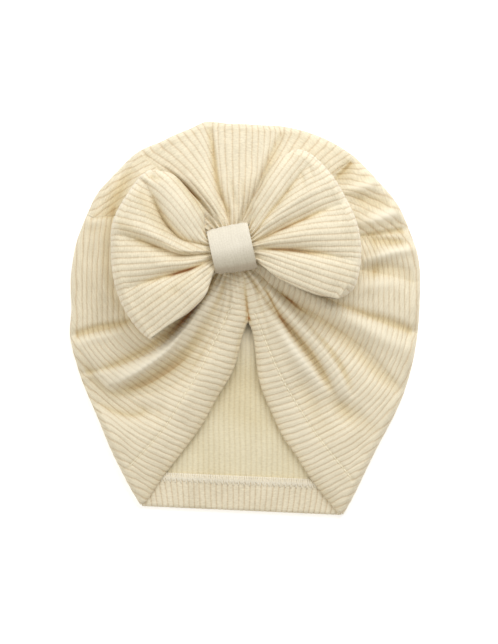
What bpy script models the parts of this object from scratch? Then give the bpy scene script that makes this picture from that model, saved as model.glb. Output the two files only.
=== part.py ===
"""A toddler's pull-on turban hat with a bow, lying flat on its back panel, front up.

The cloth is a cream rib velour. +Y runs from the open hem to the top of the crown, +X to the right as the hat
is looked at, and +Z up, away from the surface that it lies on. Sizes in this file are millimetres, and a mesh
gets them in metres. Angles about the knot are degrees turned clockwise from straight down, so 90 is left, 180
is up and 270 is right. A table's reach is 0 at the knot and 1 at the outer edge.
"""

import math
from typing import NamedTuple

import bmesh
import bpy
import numpy as np

MM = 0.001
CLOTH = 1.5
GAP = 0.3
KNOT = np.array([-6.7, 34.2])
# The angle at which the V starts below the knot, and where the count of angles starts too.
V_START = -12.4

# The cap lies in a flat pocket: the fold round its rim is a roll of this radius.
RIM_RADIUS = 3.5
RIM_LIFT = 1.5
HUB_RADIUS = 9.0
HUB_HEIGHT = 16.0
HUB_FADE = 10.0
DOME_REACH = 60.0
STATIONS = (0.0, 0.25, 0.5, 0.75, 1.0)
MID_STATIONS = (0.0, 0.45, 1.0)

HEM_WIDTH = 15.0
HEM_SAG = 0.6
HEM_LEFT_END = (-52.2, -93.8)
HEM_RIGHT_END = (48.3, -98.3)
HEM_CORNER = 10.0
HEM_EDGE_INSET = 0.8
HEM_SPAN = (0.2, 0.95)
HEM_GATHER_REACHES = (0.2, 0.32)
HEM_GATHER_SHARES = (0.4, 1.0)
BACK_HEM_MARGINS = (4.0, 5.0)
BACK_HEM_LIFT = 1.0
BACK_HEM_FLARE = 3.0
BACK_HEM_BEVEL = 0.35

BAND_TURN = 12.5
BAND_HALF_LENGTH = 10.3
BAND_HALF_WIDTH = 11.6
BAND_HALF_HEIGHT = 6.5
BAND_SQUARENESS = 2.6

WAIST_HALF_WIDTH = 8.9
WAIST_TOP = 27.3
WAIST_TOP_AT_EDGE = 24.9
WAIST_BOTTOM = HUB_HEIGHT + 2 * GAP + CLOTH
WAIST_BOTTOM_AT_EDGE = 21.2
LOOP_END_RADIUS = 4.0
LOOP_END_BOTTOM = 11.6
WAIST_SHARES = np.array([0.49, 0.25])[:, None, None]
BAND_SWELL = 0.03
CREASE_SHARP_ANGLE = 50.0


class OutlineRow(NamedTuple):
    """The rim's distance from the knot in one direction."""

    angle: float
    radius: float


class Crease(NamedTuple):
    """A crease from the knot to the outer edge, and the pillow of cloth between it and the next crease."""

    name: str
    angles: tuple
    depth_knot: float
    depth_mid: float
    depth_edge: float
    crest: float
    fullness: float


class LoopRow(NamedTuple):
    """How a loop of the bow leaves its waist: its top's rise, and the share that its underside has sunk."""

    reach: float
    rise: float
    sunk: float


class Dent(NamedTuple):
    """A soft hollow across the pleats, from one place to another, as angle and distance from the knot."""

    name: str
    start: tuple
    end: tuple
    width: float
    depth: float


RIM = (
    OutlineRow(19.6, 135.4),
    OutlineRow(28, 121.3),
    OutlineRow(40, 106.0),
    OutlineRow(52, 97.3),
    OutlineRow(62, 91.5),
    OutlineRow(70, 85.3),
    OutlineRow(82, 81.0),
    OutlineRow(94, 77.3),
    OutlineRow(103, 74.6),
    OutlineRow(112, 73.0),
    OutlineRow(124, 69.5),
    OutlineRow(136, 67.8),
    OutlineRow(148, 64.5),
    OutlineRow(160, 64.0),
    OutlineRow(168, 65.2),
    OutlineRow(180, 63.0),
    OutlineRow(190, 63.5),
    OutlineRow(202, 66.5),
    OutlineRow(214, 70.3),
    OutlineRow(232, 76.5),
    OutlineRow(244, 80.3),
    OutlineRow(256, 86.3),
    OutlineRow(264, 89.2),
    OutlineRow(272, 93.0),
    OutlineRow(286, 97.5),
    OutlineRow(298, 103.8),
    OutlineRow(310, 111.8),
    OutlineRow(322, 120.8),
    OutlineRow(328, 127.8),
    OutlineRow(337.4, 143.5),
)

# The cap's creases, clockwise from the left edge of the V to its right edge, with an angle at each station.
CAP_CREASES = (
    Crease("left_edge", (-11.0, -12.4, 3.0, 13.4, 19.6), 1.0, 1.4, 1.3, 0.55, 0.8),
    Crease("left_hollow", (6.0, 12.0, 20.5, 32.0, 42.0), 1.5, 3.8, 1.6, 0.78, 1.0),
    Crease("left_roll", (32.0, 33.5, 37.0, 43.5, 50.0), 2.0, 4.5, 1.6, 0.5, 0.8),
    Crease("left_side", (52.0, 51.0, 53.0, 57.0, 61.5), 1.5, 2.0, 2.6, 0.5, 0.5),
    Crease("upper_left", (98.0, 108.0, 110.0, 108.0, 103.4), 1.5, 1.8, 2.6, 0.5, 0.6),
    Crease("upper_left_fan", (132.0, 140.0, 140.0, 138.0, 137.0), 2.0, 2.0, 1.4, 0.45, 0.7),
    Crease("top_left", (176.0, 172.0, 167.5, 169.0, 169.5), 3.0, 4.5, 2.4, 0.5, 0.6),
    Crease("top_right", (199.0, 201.0, 202.5, 202.0, 202.8), 3.0, 4.0, 1.6, 0.5, 0.7),
    Crease("upper_right", (228.0, 231.0, 233.0, 233.5, 232.2), 1.5, 2.0, 2.4, 0.47, 0.8),
    Crease("right_fold", (252.0, 257.0, 262.0, 264.0, 264.0), 1.5, 2.5, 2.6, 0.36, 0.9),
    Crease("right_soft", (271.0, 276.0, 279.0, 279.0, 280.0), 1.0, 1.5, 1.6, 0.5, 0.6),
    Crease("right_side", (292.0, 296.0, 297.0, 296.0, 294.7), 1.5, 2.5, 2.6, 0.33, 0.8),
    Crease("right_roll", (313.0, 312.0, 307.5, 306.8, 309.5), 2.5, 4.5, 1.8, 0.62, 1.0),
    Crease("right_hollow", (329.0, 326.0, 323.2, 324.5, 326.0), 2.0, 4.0, 1.6, 0.3, 0.9),
    Crease("right_edge", (345.0, 346.6, 347.6, 342.4, 337.4), 1.0, 1.4, 1.3, 0.5, 1.0),
)
CAP_COLUMNS = (4, 4, 4, 5, 4, 4, 5, 4, 4, 4, 4, 4, 4, 4)
CAP_DENTS = (
    Dent("left_hollow", (25.0, 90.0), (45.0, 101.0), 9.0, 2.4),
    Dent("right_hollow", (334.0, 78.0), (328.0, 96.0), 10.0, 2.0),
)

# The bow's strip is pinched to the same four pleats on both sides of the band, top edge first.
LEFT_LOOP_CREASES = (
    Crease("top_edge", (117.5, 145.5, 143.2, 141.0, 136.5), 0.0, 4.0, 3.5, 0.5, 0.7),
    Crease("finger", (98.0, 100.0, 110.0, 122.0, 128.0), 1.5, 6.5, 4.0, 0.72, 0.8),
    Crease("wing", (79.0, 81.5, 90.3, 95.5, 97.0), 1.5, 5.5, 2.0, 0.55, 0.8),
    Crease("lower", (61.0, 63.4, 67.4, 68.7, 69.0), 1.0, 5.0, 2.0, 0.5, 0.6),
    Crease("bottom_edge", (37.5, 29.5, 33.5, 39.3, 42.2), 0.0, 2.0, 1.5, 0.5, 1.0),
)
RIGHT_LOOP_CREASES = (
    Crease("top_edge", (217.5, 206.0, 205.2, 207.0, 212.2), 0.0, 3.0, 2.5, 0.5, 0.7),
    Crease("ridge", (238.0, 228.0, 225.0, 223.0, 222.0), 1.5, 3.5, 1.0, 0.4, 0.8),
    Crease("middle", (254.0, 249.5, 248.2, 247.5, 247.5), 1.5, 5.5, 2.5, 0.5, 0.8),
    Crease("lower", (272.0, 270.5, 272.0, 274.0, 276.0), 1.0, 5.5, 2.0, 0.45, 0.7),
    Crease("bottom_edge", (297.5, 302.6, 300.8, 298.3, 295.0), 0.0, 2.5, 1.8, 0.5, 1.0),
)
LEFT_LOOP_END = (
    OutlineRow(42.2, 62.5),
    OutlineRow(71, 62.9),
    OutlineRow(90, 62.0),
    OutlineRow(101, 62.7),
    OutlineRow(119, 60.6),
    OutlineRow(136.5, 59.2),
)
RIGHT_LOOP_END = (
    OutlineRow(212.2, 61.0),
    OutlineRow(223.7, 63.7),
    OutlineRow(243, 64.0),
    OutlineRow(262, 65.9),
    OutlineRow(276.5, 66.4),
    OutlineRow(288.9, 65.0),
    OutlineRow(295, 62.5),
)
LOOP_RISE = (
    LoopRow(0.0, 0.0, 0.0),
    LoopRow(0.2, 3.5, 0.07),
    LoopRow(0.25, 4.1, 0.1),
    LoopRow(0.5, 5.5, 0.48),
    LoopRow(0.6, 5.2, 0.62),
    LoopRow(0.8, 3.6, 0.86),
    LoopRow(1.0, -0.6, 1.0),
)
BOW_COLUMNS = 6
BOW_REACHES = 9
ROLL_ROWS = 6


class Finish(NamedTuple):
    """The colour and gloss of one piece's material."""

    colour: tuple
    roughness: float


CREAM = Finish((0.78, 0.68, 0.50, 1.0), 0.92)
PALE_CREAM = Finish((0.82, 0.75, 0.62, 1.0), 0.9)


def read_table(places, values, at):
    """Reads a table through a smooth curve that passes every row and never overshoots between two rows."""
    places = np.asarray(places, float)
    values = np.asarray(values, float)
    at = np.clip(np.asarray(at, float), places[0], places[-1])
    step = np.diff(places)
    slope = np.diff(values) / step
    before, after = slope[:-1], slope[1:]
    same_way = before * after > 0
    tangent = np.empty_like(values)
    tangent[0], tangent[-1] = slope[0], slope[-1]
    tangent[1:-1] = np.where(same_way, 2 * before * after / np.where(same_way, before + after, 1.0), 0.0)
    row = np.clip(np.searchsorted(places, at, side="right") - 1, 0, len(step) - 1)
    t = (at - places[row]) / step[row]
    rise = values[row + 1] - values[row]
    smooth = values[row] + rise * t * t * (3 - 2 * t)
    return smooth + step[row] * t * (1 - t) * (tangent[row] * (1 - t) - tangent[row + 1] * t)


def radius_at(outline, angle):
    """The distance from the knot to an outline, in the direction of each angle."""
    return read_table([row.angle for row in outline], [row.radius for row in outline], angle)


def around_knot(angle, radius):
    """Points in the plane at these angles and distances from the knot."""
    turn = np.radians(angle)
    return KNOT + np.stack([-np.sin(turn) * radius, -np.cos(turn) * radius], axis=-1)


def seen_from_knot(points):
    """The angle and distance of points from the knot. The angles run once round, from V edge to V edge."""
    away = points - KNOT
    angle = (np.degrees(np.arctan2(-away[..., 0], -away[..., 1])) - V_START) % 360 + V_START
    return angle, np.hypot(away[..., 0], away[..., 1])


def outward(outline, angle):
    """The unit normal of an outline, in the plane and away from the knot."""
    ends = (outline[0].angle, outline[-1].angle)
    before = np.clip(angle - 1.5, *ends)
    after = np.clip(angle + 1.5, *ends)
    along = around_knot(after, radius_at(outline, after)) - around_knot(before, radius_at(outline, before))
    normal = np.stack([along[..., 1], -along[..., 0]], axis=-1) / np.linalg.norm(along, axis=-1)[..., None]
    return normal * np.sign((normal * around_knot(angle, 1.0) - normal * KNOT).sum(axis=-1))[..., None]


def crease_angles(creases, reach):
    """The angle of every crease, one column each, at each reach."""
    return np.stack([read_table(STATIONS, crease.angles, reach) for crease in creases], axis=-1)


def spread(angles, columns):
    """Columns laid evenly between neighbouring creases, with each crease a column of its own."""
    places = np.concatenate([[0.0]] + [i + np.arange(1, n + 1) / n for i, n in enumerate(columns)])
    first = np.minimum(places.astype(int), angles.shape[-1] - 2)
    share = places - first
    return angles[..., first] * (1 - share) + angles[..., first + 1] * share, first, share


def pillow(share, crest, fullness):
    """A pleat's height across it: 0 at its two creases and 1 at its crest."""
    half = np.where(share < crest, share / (2 * crest), 0.5 + (share - crest) / (2 * (1 - crest)))
    return np.sin(np.pi * np.clip(half, 0, 1)) ** fullness


def pleat_drop(creases, first, share, reach):
    """How far the cloth lies below the crests: nothing on a crest, and in a crease that crease's depth."""
    crest = np.array([crease.crest for crease in creases])[first]
    fullness = np.array([crease.fullness for crease in creases])[first]
    depth = np.stack(
        [read_table(MID_STATIONS, (row.depth_knot, row.depth_mid, row.depth_edge), reach) for row in creases],
        axis=-1,
    )
    before = np.take_along_axis(depth, first[..., None], axis=-1)[..., 0]
    after = np.take_along_axis(depth, first[..., None] + 1, axis=-1)[..., 0]
    return (before * (1 - share) + after * share) * (1 - pillow(share, crest, fullness))


def dent_drop(points, dents):
    """How far the soft hollows press the cloth down: a bell across each hollow's line, fading at its ends."""
    drop = np.zeros(points.shape[:-1])
    for dent in dents:
        start = around_knot(*map(np.array, dent.start))
        end = around_knot(*map(np.array, dent.end))
        along = end - start
        t = np.clip(((points - start) @ along) / (along @ along), 0, 1)
        away = np.linalg.norm(points - start - t[..., None] * along, axis=-1)
        drop += dent.depth * np.exp(-((away / dent.width) ** 2))
    return drop


def cap_height(points):
    """The height of the cap's front over each point: a low dome, less the drop of its pleats and hollows."""
    angle, radius = seen_from_knot(points)
    inner_edge = radius_at(RIM, angle) - RIM_RADIUS
    reach = np.clip((radius - HUB_RADIUS) / (inner_edge - HUB_RADIUS), 0, 1)
    angles = crease_angles(CAP_CREASES, reach)
    first = np.clip((angle[..., None] >= angles).sum(axis=-1) - 1, 0, len(CAP_CREASES) - 2)
    low = np.take_along_axis(angles, first[..., None], axis=-1)[..., 0]
    high = np.take_along_axis(angles, first[..., None] + 1, axis=-1)[..., 0]
    share = np.clip((angle - low) / (high - low), 0, 1)
    rim = 2 * RIM_RADIUS + RIM_LIFT
    dome = rim + (HUB_HEIGHT - rim) * np.exp(-((radius / DOME_REACH) ** 2)) * (1 - reach**4)
    opened = np.clip((radius - HUB_RADIUS) / HUB_FADE, 0, 1)
    return dome - opened * (pleat_drop(CAP_CREASES, first, share, reach) + dent_drop(points, CAP_DENTS))


def flat(points, height):
    """Points in the plane with a height each."""
    return np.concatenate([points, np.broadcast_to(height, points.shape[:-1])[..., None]], axis=-1)


def sheet_faces(rows, columns, ring):
    """The quads of a grid of points, as indices, and with a ring the quads from its last row to its first."""
    index = np.arange(rows * columns).reshape(rows, columns)
    if ring:
        index = np.concatenate([index, index[:1]])
    corners = (index[:-1, :-1], index[:-1, 1:], index[1:, 1:], index[1:, :-1])
    return np.stack([corner.reshape(-1) for corner in corners], axis=-1)


def walls(path, offset, closed=False):
    """Quads between a path of points of the outer face and the same points of the inner face."""
    if closed:
        path = np.append(path, path[0])
    return np.stack([path[1:], path[:-1], path[:-1] + offset, path[1:] + offset], axis=-1)


def add_piece(name, points, faces, finish):
    """Makes a closed mesh object from points in millimetres, facing out, with a material of its own."""
    mesh = bpy.data.meshes.new(name)
    mesh.from_pydata((np.asarray(points) * MM).tolist(), [], [list(map(int, face)) for face in faces])
    work = bmesh.new()
    work.from_mesh(mesh)
    bmesh.ops.recalc_face_normals(work, faces=work.faces)
    bmesh.ops.triangulate(work, faces=work.faces)
    work.to_mesh(mesh)
    work.free()
    mesh.shade_smooth()
    mesh.set_sharp_from_angle(angle=math.radians(CREASE_SHARP_ANGLE))
    material = bpy.data.materials.new(name)
    material.use_nodes = True
    shader = material.node_tree.nodes["Principled BSDF"]
    shader.inputs["Base Color"].default_value = finish.colour
    shader.inputs["Roughness"].default_value = finish.roughness
    shader.inputs["Metallic"].default_value = 0.0
    mesh.materials.append(material)
    piece = bpy.data.objects.new(name, mesh)
    bpy.context.scene.collection.objects.link(piece)
    return piece


def cloth_piece(name, outer, inner, finish, ring=False):
    """A piece of cloth between two grids of points, closed along every free edge."""
    rows, columns = outer.shape[:2]
    count = rows * columns
    index = np.arange(count).reshape(rows, columns)
    skin = sheet_faces(rows, columns, ring)
    edges = [walls(index[:, 0], count, ring), walls(index[::-1, -1], count, ring)]
    if not ring:
        edges += [walls(index[0, ::-1], count), walls(index[-1], count)]
    faces = np.concatenate([skin, skin[:, ::-1] + count] + edges)
    points = np.concatenate([outer.reshape(-1, 3), inner.reshape(-1, 3)])
    return add_piece(name, points, faces, finish)


def crown():
    """The cap: its front from the knot to the rim, the roll round the rim, and its back panel to the hem."""
    reach = np.concatenate([np.linspace(0, 0.3, 5), np.linspace(0.3, 1.0, 12)[1:]])[:, None]
    angle, _, _ = spread(crease_angles(CAP_CREASES, reach[:, 0]), CAP_COLUMNS)
    at_rim = angle[-1]
    normal = outward(RIM, at_rim)
    nose = around_knot(at_rim, radius_at(RIM, at_rim))
    seat = nose - RIM_RADIUS * normal
    seat_angle, seat_radius = seen_from_knot(seat)
    radius = HUB_RADIUS + reach * (seat_radius - HUB_RADIUS)
    turned = angle + reach**2 * (seat_angle - at_rim)
    plan = around_knot(turned, radius)
    plan[-1] = seat
    top = cap_height(plan)
    front, front_inner = flat(plan, top), flat(plan, top - CLOTH)

    around = np.radians(np.linspace(90, -90, 8)[1:])[:, None]
    upper = np.maximum(np.sin(around), 0) * (top[-1] - RIM_RADIUS)
    upper_inner = np.maximum(np.sin(around), 0) * (top[-1] - RIM_RADIUS - CLOTH)
    lower = np.minimum(np.sin(around), 0)
    out = np.cos(around)[..., None] * normal
    roll = flat(seat + RIM_RADIUS * out, RIM_RADIUS + upper + lower * RIM_RADIUS)
    roll_inner = flat(
        seat + (RIM_RADIUS - CLOTH) * out,
        RIM_RADIUS + upper_inner + lower * (RIM_RADIUS - CLOTH),
    )

    hem_left, hem_right = np.array(HEM_LEFT_END), np.array(HEM_RIGHT_END)
    along = (hem_right - hem_left) / np.linalg.norm(hem_right - hem_left)
    fold_left, fold_right = hem_left + HEM_CORNER * along, hem_right - HEM_CORNER * along
    share = ((at_rim - at_rim[0]) / (at_rim[-1] - at_rim[0]))[:, None]
    fold = fold_left + share * (fold_right - fold_left)
    across = np.linspace(0, 1, 7)[1:, None, None]
    back = seat + across * (fold - seat)

    outer = np.concatenate([front, roll, flat(back, 0.0)])
    inner = np.concatenate([front_inner, roll_inner, flat(back, CLOTH)])
    rows, columns = outer.shape[:2]
    count = rows * columns
    index = np.arange(count).reshape(rows, columns)
    skin = sheet_faces(rows, columns, False)
    edges = [walls(index[:, 0], count), walls(index[::-1, -1], count), walls(index[-1], count)]
    hub_ring = np.append(index[0], index[0, 0])
    hub = np.stack([np.full(columns, 2 * count), hub_ring[1:], hub_ring[:-1]], axis=-1)
    hub_inner = hub[:, ::-1] + np.where(hub[:, ::-1] == 2 * count, 1, count)
    points = np.concatenate(
        [
            outer.reshape(-1, 3),
            inner.reshape(-1, 3),
            [[*KNOT, HUB_HEIGHT], [*KNOT, HUB_HEIGHT - CLOTH]],
        ]
    )
    slit_end = [walls(index[0, [0, -1]], count)]
    faces = [*np.concatenate([skin, skin[:, ::-1] + count] + edges + slit_end), *hub, *hub_inner]
    return add_piece("crown", points, faces, CREAM)


def hem_back():
    """The back panel's turned-in hem, a flat strip on the panel along its lower fold."""
    left, right = np.array(HEM_LEFT_END), np.array(HEM_RIGHT_END)
    along = (right - left) / np.linalg.norm(right - left)
    inward = np.array([-along[1], along[0]])
    start = left + BACK_HEM_MARGINS[0] * along + BACK_HEM_LIFT * inward
    end = right - BACK_HEM_MARGINS[1] * along + BACK_HEM_LIFT * inward
    share = np.linspace(0, 1, 19)[None, :, None]
    depth = np.array([0.0, HEM_EDGE_INSET, HEM_WIDTH - HEM_EDGE_INSET, HEM_WIDTH])[:, None, None]
    flare = np.linspace(0, 1, 4)[:, None, None] * BACK_HEM_FLARE * along
    plan = (start - flare) * (1 - share) + (end + flare) * share + depth * inward
    lift = np.array([BACK_HEM_BEVEL, 0.0, 0.0, BACK_HEM_BEVEL])[:, None]
    base = CLOTH + GAP
    return cloth_piece("hem_back", flat(plan, base + CLOTH - lift), flat(plan, base), CREAM)


def hem_front(name, crease, side):
    """The turned-in hem along one edge of the V, a strip held just under the cap's front panel.

    Its end near the knot narrows with the pleats that it is gathered into.
    """
    reach = np.linspace(*HEM_SPAN, 20)[:, None]
    edge_radius = HUB_RADIUS + reach * (radius_at(RIM, crease[-1]) - RIM_RADIUS - HUB_RADIUS)
    across = np.linspace(0, HEM_WIDTH - HEM_EDGE_INSET, 4)[None, :]
    gathered = read_table(HEM_GATHER_REACHES, HEM_GATHER_SHARES, reach)
    inset = HEM_EDGE_INSET + across * gathered
    angle = read_table(STATIONS, crease, reach) + side * np.degrees(inset / edge_radius)
    limit = radius_at(RIM, angle) - RIM_RADIUS - HEM_SAG
    plan = around_knot(angle, HUB_RADIUS + reach * (limit - HUB_RADIUS))
    top = cap_height(plan) - CLOTH - HEM_SAG
    return cloth_piece(name, flat(plan, top), flat(plan, top - CLOTH), CREAM)


def in_band_frame(across, along):
    """Points in the plane, from places across the knot band (to the right) and along it (to the top)."""
    turn = math.radians(BAND_TURN)
    x = across * math.cos(turn) - along * math.sin(turn)
    y = across * math.sin(turn) + along * math.cos(turn)
    return KNOT + np.stack([x, y], axis=-1)


def loop_rows(creases, outline, reach):
    """One side of the bow's strip from above: its points, its pleats' drop, and its end's normals."""
    angle, first, share = spread(crease_angles(creases, reach), (BOW_COLUMNS,) * (len(creases) - 1))
    start = np.hypot(BAND_HALF_LENGTH + GAP, WAIST_HALF_WIDTH * (1 - 2 * np.linspace(0, 1, angle.shape[1])))
    normal = outward(outline, angle[-1])
    seat = around_knot(angle[-1], radius_at(outline, angle[-1])) - LOOP_END_RADIUS * normal
    _, end = seen_from_knot(seat)
    radius = start + reach[:, None] * (end - start)
    plan = around_knot(angle, radius)
    plan[-1] = seat
    places = np.broadcast_to(first, angle.shape)
    drop = pleat_drop(creases, places, np.broadcast_to(share, angle.shape), reach[:, None])
    return plan, drop, normal


def loop_of_bow(creases, outline):
    """Half of the bow, from the band over its top, round its end and back below: outer and inner points."""
    reach = np.linspace(0, 1, BOW_REACHES)
    plan, drop, normal = loop_rows(creases, outline, reach)
    bent = (2 * np.linspace(0, 1, plan.shape[1]) - 1) ** 2
    waist_top = WAIST_TOP - (WAIST_TOP - WAIST_TOP_AT_EDGE) * bent
    waist_bottom = WAIST_BOTTOM + (WAIST_BOTTOM_AT_EDGE - WAIST_BOTTOM) * bent
    places = [row.reach for row in LOOP_RISE]
    top = waist_top + read_table(places, [row.rise for row in LOOP_RISE], reach)[:, None] - drop
    sunk = read_table(places, [row.sunk for row in LOOP_RISE], reach)[:, None]
    bottom = waist_bottom * (1 - sunk) + LOOP_END_BOTTOM * sunk
    over, over_inner = flat(plan, top), flat(plan, top - CLOTH)
    under, under_inner = flat(plan, bottom), flat(plan, bottom + CLOTH)
    around = np.radians(np.linspace(90, -90, ROLL_ROWS)[1:-1])[:, None]
    middle, half = (top[-1] + bottom[-1]) / 2, (top[-1] - bottom[-1]) / 2
    out = np.cos(around)[..., None] * normal
    roll = flat(plan[-1] + LOOP_END_RADIUS * out, middle + np.sin(around) * half)
    roll_inner = flat(plan[-1] + (LOOP_END_RADIUS - CLOTH) * out, middle + np.sin(around) * (half - CLOTH))
    outer = np.concatenate([over, roll, under[::-2]])
    inner = np.concatenate([over_inner, roll_inner, under_inner[::-2]])
    return outer, inner


def bow_half(name, own, other):
    """One side of the bow, an open loop of cloth that ends at the middle of the waist, under the band."""
    skins = []
    for here, there in zip(own, other):
        over = here[0] + (there[0] - here[0]) * WAIST_SHARES
        under = here[-1] + (there[-1] - here[-1]) * WAIST_SHARES[::-1]
        skins.append(np.concatenate([over, here, under]))
    return cloth_piece(name, *skins, CREAM)


def bow():
    """The bow: a strip of cloth pinched to a waist under the band, with an open loop on each side."""
    left = loop_of_bow(LEFT_LOOP_CREASES, LEFT_LOOP_END)
    right = loop_of_bow(RIGHT_LOOP_CREASES, RIGHT_LOOP_END)
    bow_half("bow_left", left, right)
    bow_half("bow_right", right, left)


def knot_band():
    """The band round the waist: a flattened ring carried along its length, a little wider at its middle."""
    turn = np.linspace(0, 2 * math.pi, 33)[:-1][:, None]
    across = np.linspace(-1, 1, 5)[None, :]
    swell = 1 - BAND_SWELL * across**2
    power = 2 / BAND_SQUARENESS

    def ring(half_width, half_height):
        along = np.sign(np.cos(turn)) * np.abs(np.cos(turn)) ** power * half_width * swell
        rise = np.sign(np.sin(turn)) * np.abs(np.sin(turn)) ** power * half_height
        rise = np.where(rise > 0, rise * swell, rise)
        height = HUB_HEIGHT + GAP + BAND_HALF_HEIGHT + rise
        return flat(in_band_frame(np.broadcast_to(across * BAND_HALF_LENGTH, along.shape), along), height)

    inner = ring(BAND_HALF_WIDTH - CLOTH, BAND_HALF_HEIGHT - CLOTH)
    return cloth_piece("knot_band", ring(BAND_HALF_WIDTH, BAND_HALF_HEIGHT), inner, PALE_CREAM, ring=True)


def clear_scene():
    """Removes every object of the scene that the file was opened with."""
    for item in list(bpy.data.objects):
        bpy.data.objects.remove(item, do_unlink=True)


def build():
    """Makes the hat's pieces."""
    clear_scene()
    crown()
    hem_back()
    hem_front("hem_left", CAP_CREASES[0].angles, 1)
    hem_front("hem_right", CAP_CREASES[-1].angles, -1)
    bow()
    knot_band()


build()
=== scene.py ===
"""The looks of a toddler's turban hat with a bow, lying flat, front up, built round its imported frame.

The cap, the bow and the hems are one cream rib velour, and the knot band a finer, paler knit. Sizes and
places are millimetres in the frame's own axes where nothing else is said, and a mesh gets them in metres.
Angles about the knot are degrees turned clockwise from straight down, so 90 is left, 180 is up and 270 is
right. A reach is 0 at the knot and 1 at the outer edge. A rib's lie is the angle of its line, anticlockwise
from +X.
"""

import logging
import math
from collections.abc import Callable
from dataclasses import dataclass
from enum import Enum

import bpy
import numpy as np
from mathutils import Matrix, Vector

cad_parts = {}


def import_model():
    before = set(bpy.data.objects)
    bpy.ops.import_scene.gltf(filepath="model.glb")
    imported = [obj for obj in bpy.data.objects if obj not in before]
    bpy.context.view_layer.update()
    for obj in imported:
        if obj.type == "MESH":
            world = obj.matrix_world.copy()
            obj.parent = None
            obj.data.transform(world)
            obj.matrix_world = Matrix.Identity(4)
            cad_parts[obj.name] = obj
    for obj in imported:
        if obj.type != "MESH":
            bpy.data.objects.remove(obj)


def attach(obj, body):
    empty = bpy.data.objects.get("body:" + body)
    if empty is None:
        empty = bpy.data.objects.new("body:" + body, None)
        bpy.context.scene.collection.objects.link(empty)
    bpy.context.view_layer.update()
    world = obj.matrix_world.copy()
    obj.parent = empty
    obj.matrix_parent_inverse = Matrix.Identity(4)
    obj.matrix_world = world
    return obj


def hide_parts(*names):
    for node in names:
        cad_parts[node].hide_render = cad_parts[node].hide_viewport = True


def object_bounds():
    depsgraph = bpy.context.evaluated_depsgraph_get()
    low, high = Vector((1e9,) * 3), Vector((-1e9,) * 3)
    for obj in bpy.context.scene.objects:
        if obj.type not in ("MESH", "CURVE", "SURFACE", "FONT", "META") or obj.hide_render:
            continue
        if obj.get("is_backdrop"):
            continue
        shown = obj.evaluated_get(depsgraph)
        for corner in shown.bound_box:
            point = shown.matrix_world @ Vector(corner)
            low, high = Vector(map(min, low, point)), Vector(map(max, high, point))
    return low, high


log = logging.getLogger("turban_hat")
Array = np.ndarray
Numbers = float | tuple | list | Array
Object = bpy.types.Object
Mesh = bpy.types.Mesh
Material = bpy.types.Material
Node = bpy.types.Node
Tree = bpy.types.NodeTree
Socket = bpy.types.NodeSocket
Operand = Socket | float | tuple | None

# A millimetre in metres, the cloth's thickness, the gap between pieces, and the middle of the knot
MM = 0.001
CLOTH = 1.5
GAP = 0.3
KNOT = np.array([-6.7, 34.2])
# The line down the middle of the V, from which the angles run once round the knot
V_LINE_RADII = (0.0, 17.5, 26.0, 34.9, 40.3, 61.5)
V_LINE_ANGLES = (-20.8, -19.2, -15.6, -13.2, -11.0, -5.8)

# The cap: the roll of its rim, the gather under the knot, and the dome between them
RIM_RADIUS = 3.5
RIM_LIFT = 1.5
HUB_RADIUS = 9.0
HUB_START = 5.0
HUB_HEIGHT = 16.0
HUB_FADE = 10.0
DOME_REACH = 60.0

# The reaches of a pleat's angles and of its depths
STATIONS = (0.0, 0.25, 0.5, 0.75, 1.0)
MID_STATIONS = (0.0, 0.45, 1.0)

# The hems, the ribs, and the steps and reaches by which shapes are worked out
HEM_LEFT_END = (-52.2, -93.8)
HEM_RIGHT_END = (48.3, -98.3)
HEM_WIDTH = 15.0
RIB_PITCH = 2.7
GRID_STEP = 0.62
LINING_DEPTH = 0.8 * CLOTH
NORMAL_SPAN = 1.5
FOLD_STEPS = 5
FOLD_EXTENT = 2.5
TUBE_END = 0.45

# The small gathers round the knot, the hollows' depth at which their painted shade is full, and the grooves
# of the seams
GATHER_START = 9.0
GATHER_REACH = 30.0
GATHER_DEPTH = 1.3
GATHER_COUNT = 36
GATHER_WANDER = 1.4
HOLLOW_DEPTH = 1.3
SEAM_WIDTH = 0.8
SEAM_DEPTH = 0.45

# The lowest that the cap's front may lie, and the names of the cloth's attribute of painted shade and
# highlight and of its UV map
LOWEST_FRONT = 3.8
PAINTED_SHADING_ATTRIBUTE = "hollow"
CLOTH_UV = "cloth"


@dataclass(frozen=True)
class Outline:
    """An outline round the knot, as rows of an angle and a distance from the knot."""

    rows: tuple

    def radius(self, angle: Numbers) -> Array:
        """The outline's distance from the knot at each angle."""
        return read_table(*zip(*self.rows), angle)

    def outward(self, angle: Array) -> Array:
        """The outline's unit normal in the plane, away from the knot.

        Args:
            angle: the angles about the knot.

        Returns:
            The normal at each angle, square to a short chord of the outline.
        """
        ends = (self.rows[0][0], self.rows[-1][0])
        before, after = np.clip(angle - NORMAL_SPAN, *ends), np.clip(angle + NORMAL_SPAN, *ends)
        along = around_knot(after, self.radius(after)) - around_knot(before, self.radius(before))
        normal = np.stack([along[..., 1], -along[..., 0]], axis=-1)
        normal = normal / np.linalg.norm(along, axis=-1)[..., None]
        return normal * np.sign((normal * (around_knot(angle, 1.0) - KNOT)).sum(axis=-1))[..., None]


@dataclass(frozen=True)
class Pleat:
    """A crease from the knot outward, and the pillow of cloth between it and the next row's crease.

    Attributes:
        name: what it is.
        angles: the crease's angle at each station.
        depths: how deep it is at each of MID_STATIONS.
        crest: where the pillow is highest, as a share of the way across it.
        fullness: the power of the pillow's arch. The lower it is, the fuller the pillow.
        stations: the reaches of the angles.
    """

    name: str
    angles: tuple
    depths: tuple
    crest: float
    fullness: float
    stations: tuple = STATIONS


@dataclass(frozen=True)
class Lie:
    """How the ribs lie at a pleat's first and last crease, each near the knot and at the outer edge."""

    first: tuple
    last: tuple


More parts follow.
